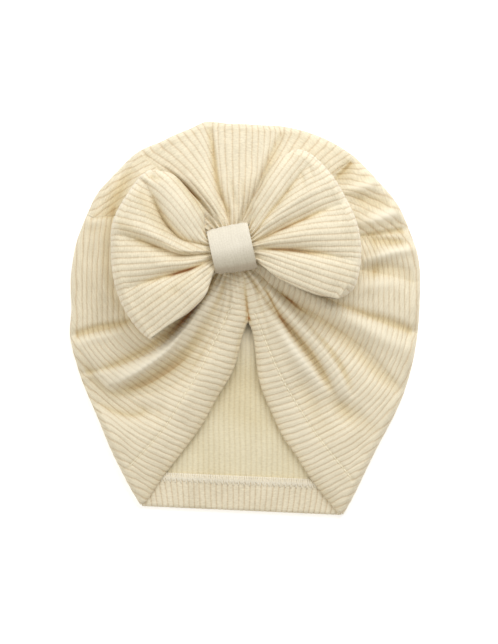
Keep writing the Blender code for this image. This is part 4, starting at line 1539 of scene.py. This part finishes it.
def rim_seat(samples: int = 1200) -> Array:
    """The line on which the rim's roll comes down, from the V's left edge round to its right edge."""
    angle = np.linspace(RIM.rows[0][0], RIM.rows[-1][0], samples)
    return around_knot(angle, RIM.radius(angle)) - RIM_RADIUS * RIM.outward(angle)


@dataclass
class CapBack:
    """The cap's back panel, flat on the surface, its ribs upright. Its reverse shows through the V.

    A bulge lifts it behind the V's tip, and a slow noise makes it swell a little all over.
    """

    name: str = "crown_back"
    columns_per_rib: int = 5
    row_step: float = 2.4
    rib_depth: float = 0.10
    fold_radius: float = 1.65
    reverse_pitch: float = 2.65
    margin: float = 0.4
    rib_wander: SoftNoise = SoftNoise(0.25, 40.0, 9)
    swell: SoftNoise = SoftNoise(0.35, 55.0, 3)
    bulge: float = 3.2
    bulge_place: tuple = (0.5, -8.0)
    bulge_width: float = 16.0

    def edges(self, x: Array) -> tuple:
        """The panel's edges: the rim's seat line above, and below it the hem's fold.

        Args:
            x: the places of the columns.

        Returns:
            The y of the lower edge and of the upper edge at each x.
        """
        line = rim_seat()
        left, right = line[:, 0].argmin(), line[:, 0].argmax()
        upper = np.interp(x, *line[left : right + 1].T)
        below = np.concatenate([line[left::-1], line[: right - 1 : -1]])
        fold = np.interp(x, (HEM_LEFT_END[0], HEM_RIGHT_END[0]), (HEM_LEFT_END[1], HEM_RIGHT_END[1]))
        lower = np.maximum(np.interp(x, *below.T), fold + self.fold_radius)
        return lower, upper

    def make(self) -> Sheet:
        """Works out the panel's sheet: upright columns between its two edges, its reverse upward."""
        line = rim_seat()
        left, right = line[:, 0].min() + self.margin, line[:, 0].max() - self.margin
        x = np.arange(left, right, self.reverse_pitch / self.columns_per_rib)
        lower, upper = self.edges(x)
        count = int((upper - lower).max() / self.row_step)
        share = np.linspace(0, 1, count)[:, None]
        y = lower + share * (upper - lower)
        plan = np.stack([np.broadcast_to(x, y.shape), y], axis=-1)
        across = x * RIB_PITCH / self.reverse_pitch + self.rib_wander.at(plan)
        sink = self.rib_depth * 0.5 * (1 + np.cos(2 * np.pi * across / RIB_PITCH))
        away = np.linalg.norm(plan - np.array(self.bulge_place), axis=-1)
        swell = np.abs(self.swell.at(plan)) + self.bulge * np.exp(-((away / self.bulge_width) ** 2))
        top = flat(plan, CLOTH + swell - sink)
        rows, columns = spaced_picks(count, 4), spaced_picks(len(x), 6)
        bottom = flat(plan[np.ix_(rows, columns)], 0.0)
        # The hollows of the swell set the panel's painted shade and painted highlight
        return Sheet(top, bottom, rows, columns, cell_ends(across), y, hollows(CLOTH + swell))


@dataclass
class BackHem:
    """The back panel's hem: its cloth folded up over itself along the lower edge, its raw edge overlocked.

    Its ends splay by flare for each millimetre inward, and lose end_press of their height over end_share of
    its half length. It falls off by raw_drop over the last raw_round of its width, and is thinner by
    fold_thinning round its fold. Each of strands is the lean, shift and length of one thread's stitches. They
    reach band_width in from overhang beyond the raw edge, vary by uneven in length and lie sunk in the nap.
    """

    name: str = "hem_back"
    margin: float = 0.5
    fold_radius: float = 1.65
    width: float = 17.2
    flare: float = 0.2
    end_share: float = 0.02
    end_press: float = 0.75
    raw_round: float = 0.9
    raw_drop: float = 1.0
    fold_thinning: float = 0.15
    rib_depth: float = 0.15
    rib_wander: SoftNoise = SoftNoise(0.15, 18.0, 12)
    thread_radius: float = 0.3
    loop_pitch: float = 0.9
    band_width: float = 4.5
    strands: tuple = ((0.9, 0.0, 1.0), (-0.8, 0.5, 0.85), (0.2, 0.25, 0.95))
    uneven: float = 0.16
    uneven_wave: float = 2.4
    overhang: float = 0.25
    stitch_bow: float = 0.08
    raw_dip: float = 0.4
    sunk: float = 0.1

    def frame(self) -> tuple:
        """The hem's length along its fold, and the fold's direction."""
        reach = np.array(HEM_RIGHT_END) - np.array(HEM_LEFT_END)
        length = np.linalg.norm(reach)
        return length, reach / length

    def place(self, along: Array, inward: Array) -> Array:
        """Points in the plane from their distances along the hem's fold and inward from it."""
        _, way = self.frame()
        across = np.array([-way[1], way[0]])
        return np.array(HEM_LEFT_END) + along[..., None] * way + inward[..., None] * across

    def profile(self) -> tuple:
        """The hem's profile: round the fold from the surface, flat across, and rounded off at the raw edge.

        Returns:
            Its outer and its inner points, each a distance inward and a height.
        """
        turn = np.radians(np.linspace(-90, -270, 11))
        ring = np.stack([np.cos(turn), np.sin(turn)], axis=-1)
        centre = np.array([self.fold_radius, self.fold_radius])
        top = 2 * self.fold_radius
        run = np.linspace(self.fold_radius, self.width, 16)[1:]
        height = top - self.raw_drop * np.clip(1 - (self.width - run) / self.raw_round, 0, 1) ** 2
        outer = np.concatenate([centre + self.fold_radius * ring, np.stack([run, height], axis=-1)])
        below = np.stack([run, np.full(len(run), top - CLOTH)], axis=-1)
        inner_radius = self.fold_radius - CLOTH + self.fold_thinning
        return outer, np.concatenate([centre + inner_radius * ring, below])

    def carried(self, profile: Array, start: Array) -> Array:
        """Carries a profile along the fold, splayed and pressed flat at its ends.

        Args:
            profile: its points, each a distance inward and a height.
            start: the places along the fold.

        Returns:
            The grid, profile points by places by 3.
        """
        share = np.linspace(-1, 1, len(start))
        inward, height = profile[:, :1], profile[:, 1:]
        pressed = 1 - self.end_press * np.clip(1 - (1 - np.abs(share)) / self.end_share, 0, 1)
        along = start + self.flare * inward * share
        return flat(self.place(along, np.broadcast_to(inward, along.shape)), height * pressed)

    def make(self) -> Sheet:
        """Works out the hem's sheet, with upright ribs."""
        length, _ = self.frame()
        start = np.arange(self.margin, length - self.margin, RIB_PITCH / 6)
        outer, lining = self.profile()
        grid, inner = self.carried(outer, start), self.carried(lining, start)
        across = np.broadcast_to(start, grid.shape[:2]) + self.rib_wander.at(grid[..., :2])
        normals = surface_normals(grid)
        sign = np.sign(normals[-4:, :, 2].mean())
        grid = grid - normals * (sign * rib_sink(grid, across, self.rib_depth))[..., None]
        grid[..., 2] = np.maximum(grid[..., 2], 0.0)
        rows, columns = np.arange(0, len(outer), 2), spaced_picks(len(start), 6)
        rows = np.unique(np.append(rows, len(outer) - 1))
        distance = np.broadcast_to(lengths(outer)[:, None], grid.shape[:2])
        none = np.zeros(grid.shape[:2])
        return Sheet(grid, inner[np.ix_(rows, columns)], rows, columns, cell_ends(across), distance, none)

    def overlock(self) -> tuple:
        """The overlock's threads: strands of slanting stitches along the raw edge that cross one another."""
        start = np.arange(0, self.frame()[0], self.loop_pitch)
        top = 2 * self.fold_radius - self.sunk
        share = np.linspace(0, 1, 6)
        paths = []
        for lean, shift, length_share in self.strands:
            x = start[:, None] + shift + lean * share * self.loop_pitch
            uneven = 1 + self.uneven * np.sin(self.uneven_wave * start + 3 * shift)[:, None]
            depth = self.width + self.overhang - share * self.band_width * length_share * uneven
            lift = top + self.stitch_bow * np.sin(np.pi * share) - self.raw_dip * (1 - share) ** 4
            paths.append(flat(self.place(x, depth), lift))
        return tubes(np.concatenate(paths), self.thread_radius)


@dataclass
class FrontHem:
    """The turned-in hem along one edge of the V, just under the cap's front.

    It follows the edge that is row crease of CAP_PLEATS over the reaches in span. It starts inset inside the
    edge and hangs sag under the cap. Between gather_reaches its gathered end widens by gather_shares.
    """

    name: str
    crease: int
    side: Side
    span: tuple = (0.24, 0.95)
    gather_reaches: tuple = (0.24, 0.34)
    gather_shares: tuple = (0.4, 1.0)
    inset: float = 0.9
    sag: float = 0.7

    def make(self) -> Sheet:
        """Works out the hem's sheet: rows along the edge, columns inward, hung under the cap's own height."""
        edge = CAP_PLEATS[self.crease]
        reach = np.linspace(*self.span, 110)[:, None]
        edge_radius = HUB_RADIUS + reach * (RIM.radius(edge.angles[-1]) - RIM_RADIUS - HUB_RADIUS)
        gathered = read_table(self.gather_reaches, self.gather_shares, reach)
        inset = self.inset + np.linspace(0, HEM_WIDTH - self.inset, 13)[None, :] * gathered
        angle = read_table(edge.stations, edge.angles, reach)
        angle = angle + self.side.value * np.degrees(inset / edge_radius)
        limit = RIM.radius(angle) - RIM_RADIUS - self.sag
        plan = around_knot(angle, HUB_RADIUS + reach * (limit - HUB_RADIUS))
        below = cap_height(plan) - CLOTH - self.sag
        across = np.broadcast_to(edge_radius, angle.shape)
        rows, columns = spaced_picks(len(reach), 5), spaced_picks(inset.shape[1], 4)
        top = flat(plan[np.ix_(rows, columns)], below[np.ix_(rows, columns)])
        bottom = flat(plan, below - CLOTH)
        inset = np.broadcast_to(inset, angle.shape)
        return Sheet(bottom, top, rows, columns, cell_ends(across), inset, np.zeros(angle.shape))


@dataclass
class Seam:
    """A line of straight stitches along a seam's groove, beside an edge of the V."""

    name: str
    groove: Fold
    pitch: float = 2.9
    stitch: float = 2.75
    start: float = 0.5
    thread_radius: float = 0.27
    bow: float = 0.22
    sunk: float = 0.1

    def make(self) -> tuple:
        """Works out every stitch as a short tube, bowed over the cloth and sunk in at its ends."""
        path = self.groove.line(400)[:, :2]
        length = lengths(path)
        start = np.arange(self.start, length[-1] - self.pitch, self.pitch)
        share = np.linspace(0, 1, 6)
        at = start[:, None] + share * self.stitch
        place = np.stack([np.interp(at, length, path[:, axis]) for axis in (0, 1)], axis=-1)
        height = cap_height(place)
        height = (height + height.mean(axis=1, keepdims=True)) / 2
        return tubes(flat(place, height - self.sunk + self.bow * np.sin(np.pi * share)), self.thread_radius)


SEAMS = (Seam("left_hem_seam", SEAM_FOLDS[0]), Seam("right_hem_seam", SEAM_FOLDS[1]))


@dataclass
class Bow:
    """The bow: one ring of rib velour pinched to a waist, with a deeply folded loop on each side.

    Its ribs run along the strip, so a column of its grid lies along them. A height at the edge is one at the
    strip's two sides, and a reach runs from the waist to the loop's end. At each of rise_reaches the loop's
    top has risen by one of rises, and its underside has sunk by one of the shares sinks.
    """

    name: str = "bow_cloth"
    ribs: int = 36
    columns_per_rib: int = 5
    top_rows: int = 76
    roll_rows: int = 9
    waist_rows: int = 8
    band_half_length: float = 10.3
    waist_half_width: float = 8.9
    waist_top: float = 27.3
    waist_top_at_edge: float = 24.9
    waist_bottom: float = HUB_HEIGHT + 2 * GAP + CLOTH
    waist_bottom_at_edge: float = 21.2
    end_radius: float = 4.4
    end_reach: float = 2.0
    corner_roll: float = 0.8
    draw_start: float = 0.75
    end_bottom: float = 11.6
    rise_reaches: tuple = (0.0, 0.2, 0.25, 0.5, 0.6, 0.8, 0.93, 1.0)
    rises: tuple = (0.0, 3.5, 4.1, 5.5, 5.3, 3.9, 2.8, 2.65)
    sinks: tuple = (0.0, 0.07, 0.1, 0.48, 0.62, 0.86, 0.97, 1.0)
    rib_depth: float = 0.13
    gather_depth: float = 0.9
    gathers: float = 8.0
    gather_reach: float = 0.35
    gather_wander: float = 0.6
    rib_wander: SoftNoise = SoftNoise(0.1, 20.0, 21)
    shading_fade_reaches: tuple = (0.7, 0.92)
    crest_highlight_share: float = 0.45
    row_step: float = 0.8
    facing_up: float = 0.3
    crest_lining: float = 0.7 * CLOTH
    inner_every: int = 6
    fit: RibFit = RibFit(0.04, 14, 0.25, 0.3)

    def columns(self, loop: Loop) -> Array:
        """Columns evenly spaced along the loop's end and counted in creases. Each crease is one of them.

        Args:
            loop: the loop.

        Returns:
            The places of the columns.
        """
        fine = np.linspace(0, len(loop.pleats) - 1, 401)
        plan, drop, _ = self.laid(loop, np.array([0.9, 1.0]), fine)
        end = np.concatenate([plan[-1], -drop[-1][:, None]], axis=1)
        length = lengths(end)
        creases = np.interp(np.arange(len(loop.pleats)), fine, length)
        picks = np.round(creases / length[-1] * self.ribs * self.columns_per_rib)
        return np.interp(np.interp(np.arange(picks[-1] + 1), picks, creases), length, fine)

    def laid(self, loop: Loop, reach: Array, places: Array) -> tuple:
        """Lays one side of the strip out, seen from above.

        Args:
            loop: the loop on that side.
            reach: the rows, from 0 at the waist to 1 at the loop's end.
            places: the columns, counted in creases.

        Returns:
            The points, the drop of the pleats at each, and the end's outward normals.
        """
        angle = between(crease_angles(loop.pleats, reach), places)
        across = places / (len(loop.pleats) - 1)
        start = np.hypot(self.band_half_length + GAP, self.waist_half_width * (1 - 2 * across))
        normal = loop.outline.outward(angle[-1])
        seat = around_knot(angle[-1], loop.outline.radius(angle[-1])) - self.end_radius * normal
        _, end = seen_from_knot(seat)
        plan = around_knot(angle, start + reach[:, None] * (end - start))
        plan[-1] = seat
        first = np.broadcast_to(np.minimum(places.astype(int), len(loop.pleats) - 2), angle.shape)
        share = np.broadcast_to(places, angle.shape) - first
        return plan, pleat_drop(loop.pleats, first, share, reach[:, None]), normal

    def gathered(self, across: Array, reach: Array) -> Array:
        """The drop of the small gathers at the waist: a cosine across the strip that fades along the loop."""
        fade = np.clip(1 - reach / self.gather_reach, 0, 1)[:, None] ** 1.5
        turns = self.gathers * across + self.gather_wander * np.sin(5 * across)
        return self.gather_depth * fade * (0.5 - 0.5 * np.cos(2 * np.pi * turns))

    def rib_cells(self, loop: Loop, reach: Array, places: Array) -> Array:
        """The distance across the ribs at both sides of each cell of a loop's top, fitted fold by fold.

        Args:
            loop: the loop.
            reach: the rows.
            places: the columns, counted in creases.

        Returns:
            The distances, rows by cells by 2.
        """

        def seen(rows: Array, columns: Array) -> Array:
            """The loop's points alone, seen from above."""
            return self.laid(loop, rows, columns)[0]

        cells = np.zeros((len(reach), len(places) - 1, 2))
        for crease in range(len(loop.lies)):
            inside = np.flatnonzero((places > crease - 1e-6) & (places < crease + 1 + 1e-6))
            across = self.fit.across(seen, loop.lies, (crease, crease + 1), reach, places[inside])
            cells[:, inside[:-1]] = cell_ends(across)
        return cells

    def half(self, loop: Loop) -> tuple:
        """Half of the bow, out over its top, round its end and back below.

        Args:
            loop: the loop on that side.

        Returns:
            Its grid, the distance across its ribs, and how deep in a fold each point lies, which sets its
            painted shade and highlight.
        """
        places = self.columns(loop)
        across = places / (len(loop.pleats) - 1)
        reach = np.linspace(0, 1, self.top_rows)
        plan, drop, normal = self.laid(loop, reach, places)
        bent = (2 * across - 1) ** 2
        roll = 1 - self.corner_roll * bent**4

        def drawn_in(reach: Array) -> Array:
            """How far the strip is drawn in toward its end, to leave room for the round of its end."""
            share = read_table((self.draw_start, 1.0), (0.0, 1.0), reach)
            return share[:, None, None] * (self.end_radius - self.end_reach) * roll[:, None] * normal

        plan = plan - drawn_in(reach)
        waist = self.waist_top - (self.waist_top - self.waist_top_at_edge) * bent
        top = waist + read_table(self.rise_reaches, self.rises, reach)[:, None] - drop
        top = top - self.gathered(across, reach) + fold_lift(plan, BOW_FOLDS)
        back = reach[::3]
        under_waist = self.waist_bottom + (self.waist_bottom_at_edge - self.waist_bottom) * bent
        sunk = read_table(self.rise_reaches, self.sinks, back)[:, None]
        under_plan = self.laid(loop, back, places)[0] - drawn_in(back)
        bottom = under_waist * (1 - sunk) + self.end_bottom * sunk
        turn = np.radians(np.linspace(90, -90, self.roll_rows + 2)[1:-1])[:, None]
        middle, half = (top[-1] + bottom[-1]) / 2, (top[-1] - bottom[-1]) / 2
        out = self.end_radius * roll[:, None] * normal
        end = flat(plan[-1] + np.cos(turn)[..., None] * out, middle + np.sin(turn) * half)
        grid = np.concatenate([flat(plan, top), end, flat(under_plan[::-1], bottom[::-1])])
        cells = self.rib_cells(loop, reach, places)
        rest = np.broadcast_to(cells[-1:], (len(grid) - len(cells), *cells.shape[1:]))
        # Painted shading of the top: painted shade in its hollows and a weaker painted highlight on its
        # crests, fading out toward the loop's end, plus the bow's lines of painted shade
        bow_painted_shading = np.zeros(grid.shape[:2])
        fading = read_table(self.shading_fade_reaches, (1.0, 0.0), reach)[:, None]
        pressed = hollows(top, 6) * fading
        bow_painted_shading[: len(reach)] = np.maximum(pressed, self.crest_highlight_share * pressed) + fold_lift(plan, BOW_PAINTED_SHADING)
        return grid, np.concatenate([cells, rest]), bow_painted_shading

    def make(self) -> Sheet:
        """Works out the whole ring: right loop, under the waist, left loop, and over the waist."""
        right, left = self.half(RIGHT), self.half(LEFT)
        share = (np.arange(1, self.waist_rows + 1) / (self.waist_rows + 1)).reshape(-1, 1)

        def ring(right_part: Array, left_part: Array) -> Array:
            """Joins the two halves with rows laid straight between them under the band."""
            steps = share.reshape(-1, *[1] * (right_part.ndim - 1))
            under = right_part[-1] + (left_part[-1] - right_part[-1]) * steps
            over = left_part[0] + (right_part[0] - left_part[0]) * steps
            return np.concatenate([right_part, under, left_part[::-1], over])

        grid, cells, bow_painted_shading = (ring(a, b) for a, b in zip(right, left))
        cells = cells + self.rib_wander.at(grid[:, :-1, :2])[..., None]
        across = np.concatenate([cells[..., 0], cells[:, -1:, 1]], axis=1)
        normals = surface_normals(grid)
        sign = np.sign(normals[: self.top_rows // 2, :, 2].mean())
        outer = grid - normals * (sign * rib_sink(grid, across, self.rib_depth))[..., None]
        rows = np.arange(0, len(grid), self.inner_every)
        columns = spaced_picks(grid.shape[1], self.inner_every)
        picked = np.ix_(rows, columns)
        inner = grid[picked] - sign * normals[picked] * LINING_DEPTH
        upward = sign * normals[picked][..., 2] > self.facing_up
        low = lowest_near(grid[..., 2], rows, columns, self.inner_every)
        deepest = np.where(upward, low - self.crest_lining, np.inf)
        inner[..., 2] = np.minimum(inner[..., 2], deepest)
        distance = np.broadcast_to(np.arange(len(grid))[:, None] * self.row_step, grid.shape[:2])
        return Sheet(outer, inner, rows, columns, cells, distance, bow_painted_shading, True)


@dataclass
class KnotBand:
    """The band round the bow's waist: a flattened ring in a fine knit, softly creased along its wrap.

    Its ring is a superellipse of the power squareness, turned by turn degrees about the knot. Its lower turn
    gets painted shade, darker the further it faces down, by shade from shade_start.
    """

    name: str = "knot_band"
    turn: float = 12.5
    half_length: float = 10.3
    half_width: float = 11.6
    half_height: float = 6.5
    squareness: float = 1.65
    flare: float = 0.08
    steps_around: int = 120
    steps_across: int = 61
    narrowing: float = 0.03
    corner_narrowing: float = 0.02
    fine_pitch: float = 1.3
    rib_wander: SoftNoise = SoftNoise(1.1, 8.0, 31)
    creases: float = 4.0
    crease_depth: float = 0.008
    shade: float = 1.3
    shade_start: float = 0.1

    def make(self) -> Sheet:
        """Works out the band's sheet: a superellipse carried along the band, a little wider at its middle."""
        around = np.linspace(0, 2 * math.pi, self.steps_around, endpoint=False)[:, None]
        across = np.linspace(-1, 1, self.steps_across)[None, :]
        power = 2 / self.squareness
        wave = np.cos(math.pi * self.creases * across + 0.7 * np.sin(around) + 0.5 * np.sin(3 * across))
        swell = 1 - self.narrowing * across**2 - self.corner_narrowing * np.abs(across) ** 6
        swell = swell - self.crease_depth * wave

        def ring(half_width: float, half_height: float) -> Array:
            """The band's grid at one size of its ring."""
            along = np.sign(np.cos(around)) * np.abs(np.cos(around)) ** power * half_width * swell
            along = np.where(along < 0, along * (1 + self.flare * across), along)
            rise = np.sign(np.sin(around)) * np.abs(np.sin(around)) ** power * half_height
            rise = np.where(rise > 0, rise * swell, rise)
            side = np.broadcast_to(across * self.half_length, along.shape)
            lean = math.radians(self.turn)
            x = side * math.cos(lean) - along * math.sin(lean)
            y = side * math.sin(lean) + along * math.cos(lean)
            return flat(KNOT + np.stack([x, y], axis=-1), HUB_HEIGHT + GAP + self.half_height + rise)

        outer = ring(self.half_width, self.half_height)
        rows, columns = np.arange(0, self.steps_around, 4), spaced_picks(self.steps_across, 6)
        inner = ring(self.half_width - CLOTH, self.half_height - CLOTH)[np.ix_(rows, columns)]
        number = across * self.half_length * RIB_PITCH / self.fine_pitch
        number = np.broadcast_to(number, outer.shape[:2]) + self.rib_wander.at(outer[..., :2])
        distance = np.broadcast_to(around * self.half_width, outer.shape[:2])
        # Painted shade on the band's lower turn, darker the further it faces down
        facing_down = np.clip(-self.shade * np.cos(around) - self.shade_start, 0, 1)
        low = np.broadcast_to(self.shade * facing_down, outer.shape[:2])
        return Sheet(outer, inner, rows, columns, cell_ends(number), distance, low, True)


def sewn(name: str, made: tuple, thread: Thread) -> Object:
    """A piece of sewing from the points, corners and face sizes of its tubes, in its own thread."""
    points, loops, sizes = made
    return new_object(name, new_mesh(name, points * MM, loops, sizes), thread.material())


CAP_PANELS = (
    CapPanel("crown_left", 0, 4, ((0, 4),), edge_first=True),
    CapPanel("crown_top", 4, 8, ((4, 5), (5, 6), (6, 7), (7, 8))),
    CapPanel("crown_right", 8, 14, ((8, 9), (9, 14)), edge_last=True),
)


@dataclass
class Hat:
    """The whole hat: its cap, hems, bow and band, each piece riding on the frame's one body."""

    body: str = "root"

    def place(self, piece: Object, slot: str, *nodes: str) -> None:
        """Rides a piece on the body, hides the frame nodes that it stands for, and logs them.

        Args:
            piece: the piece.
            slot: the slot of its finish; not used.
            *nodes: the frame nodes, or none for a piece that only the scene has.
        """
        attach(piece, self.body)
        if nodes:
            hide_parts(*nodes)
        log.info("%s: %d faces, for %s", piece.name, len(piece.data.polygons), ", ".join(nodes) or "sewing")

    def build(self) -> None:
        """Builds every piece in order, from the cap up to the band."""
        velour, reverse = VELOUR.material(), VELOUR_BACK.material()
        for panel in CAP_PANELS:
            self.place(panel.make().make(panel.name, velour), "cap_cloth", "crown")
        back = CapBack()
        self.place(back.make().make(back.name, reverse), "cap_cloth", "crown")
        hem = BackHem()
        self.place(hem.make().make(hem.name + "_fold", velour), "hem_cloth", "hem_back")
        self.place(sewn("hem_back_overlock", hem.overlock(), OVERLOCK_THREAD), "hem_cloth")
        last = len(CAP_PLEATS) - 1
        for front in (FrontHem("hem_left", 0, Side.LEFT), FrontHem("hem_right", last, Side.RIGHT)):
            self.place(front.make().make(front.name + "_fold", reverse), "hem_cloth", front.name)
        for seam in SEAMS:
            self.place(sewn(seam.name, seam.make(), SEWING_THREAD), "hem_cloth")
        bow, band = Bow(), KnotBand()
        self.place(bow.make().make(bow.name, velour), "bow_cloth", "bow_left", "bow_right")
        self.place(band.make().make("knot_band_knit", BAND_KNIT.material()), "band_cloth", band.name)


@dataclass(frozen=True)
class Lamp:
    """A square soft light that faces the hat. Its place and the length of its side are metres."""

    name: str
    place: tuple
    size: float
    power: float
    colour: tuple

    def hang(self) -> None:
        """Hangs the light in its place."""
        light = bpy.data.lights.new(self.name, "AREA")
        light.energy = self.power
        light.color = self.colour
        light.size = self.size
        lamp = linked(self.name, light)
        lamp.location = self.place
        away = np.array(self.place) / np.linalg.norm(self.place)
        lamp.rotation_euler = (math.acos(away[2]), 0.0, math.atan2(away[0], -away[1]))


@dataclass
class Studio:
    """A white floor, soft light from the hat's top, and a camera straight above it.

    Its sizes and places are metres. Only aim, the point under the camera, is in millimetres.
    """

    aim: tuple = (1.8, -1.8)
    distance: float = 1.4
    frame_height: float = 0.322
    sensor: float = 36.0
    floor_size: float = 6.0
    key: Lamp = Lamp("key", (0.20, 0.42, 0.46), 0.5, 2.6, (0.93, 0.955, 1.0))
    fill: Lamp = Lamp("fill", (-0.75, 0.25, 0.85), 0.9, 3.2, (1.0, 1.0, 1.0))
    sky: float = 0.485
    sky_colour: tuple = (1.0, 0.96, 0.89, 1.0)
    floor_colour: tuple = (0.93, 0.93, 0.93, 1.0)
    floor_roughness: float = 0.9
    glow_colour: tuple = (1.0, 1.0, 1.0, 1.0)
    glow: float = 0.4
    floor_gap: float = 0.0002

    def floor(self) -> None:
        """Lays the floor just under the hat."""
        half = self.floor_size / 2
        corners = np.array([[-half, -half, 0], [half, -half, 0], [half, half, 0], [-half, half, 0]])
        values = {"Base Color": self.floor_colour, "Roughness": self.floor_roughness}
        values |= {"Emission Color": self.glow_colour, "Emission Strength": self.glow}
        mesh = new_mesh("floor", corners - np.array([0, 0, self.floor_gap]), np.arange(4), np.array([4]))
        mesh.materials.append(new_finish("white_floor", values)[0])
        floor = linked("floor", mesh)
        floor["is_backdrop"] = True

    def camera(self) -> None:
        """Puts the camera straight above the hat, with a lens that takes in the frame's height."""
        camera = bpy.data.cameras.new("camera")
        camera.sensor_fit = "VERTICAL"
        camera.sensor_height = self.sensor
        camera.lens = self.sensor * self.distance / self.frame_height
        eye = linked("camera", camera)
        eye.location = (self.aim[0] * MM, self.aim[1] * MM, self.distance)
        bpy.context.scene.camera = eye

    def build(self) -> None:
        """Sets up the floor, the lights, the sky and the camera."""
        self.floor()
        self.key.hang()
        self.fill.hang()
        world = bpy.data.worlds.new("studio")
        world.use_nodes = True
        fill(world.node_tree.nodes["Background"], {"Color": self.sky_colour, "Strength": self.sky})
        bpy.context.scene.world = world
        bpy.context.scene.view_settings.view_transform = "Standard"
        self.camera()


def corners(box: tuple) -> list:
    """A box's two corners as plain lists."""
    return [[float(value) for value in corner] for corner in box]


def main() -> None:
    """Loads the frame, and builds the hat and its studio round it."""
    logging.basicConfig(level=logging.INFO, format="%(name)s: %(message)s")
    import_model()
    frame_box = corners(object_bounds())
    Studio().build()
    Hat().build()
    {"frame": frame_box, "visual": corners(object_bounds())}


if __name__ == "__main__":
    main()
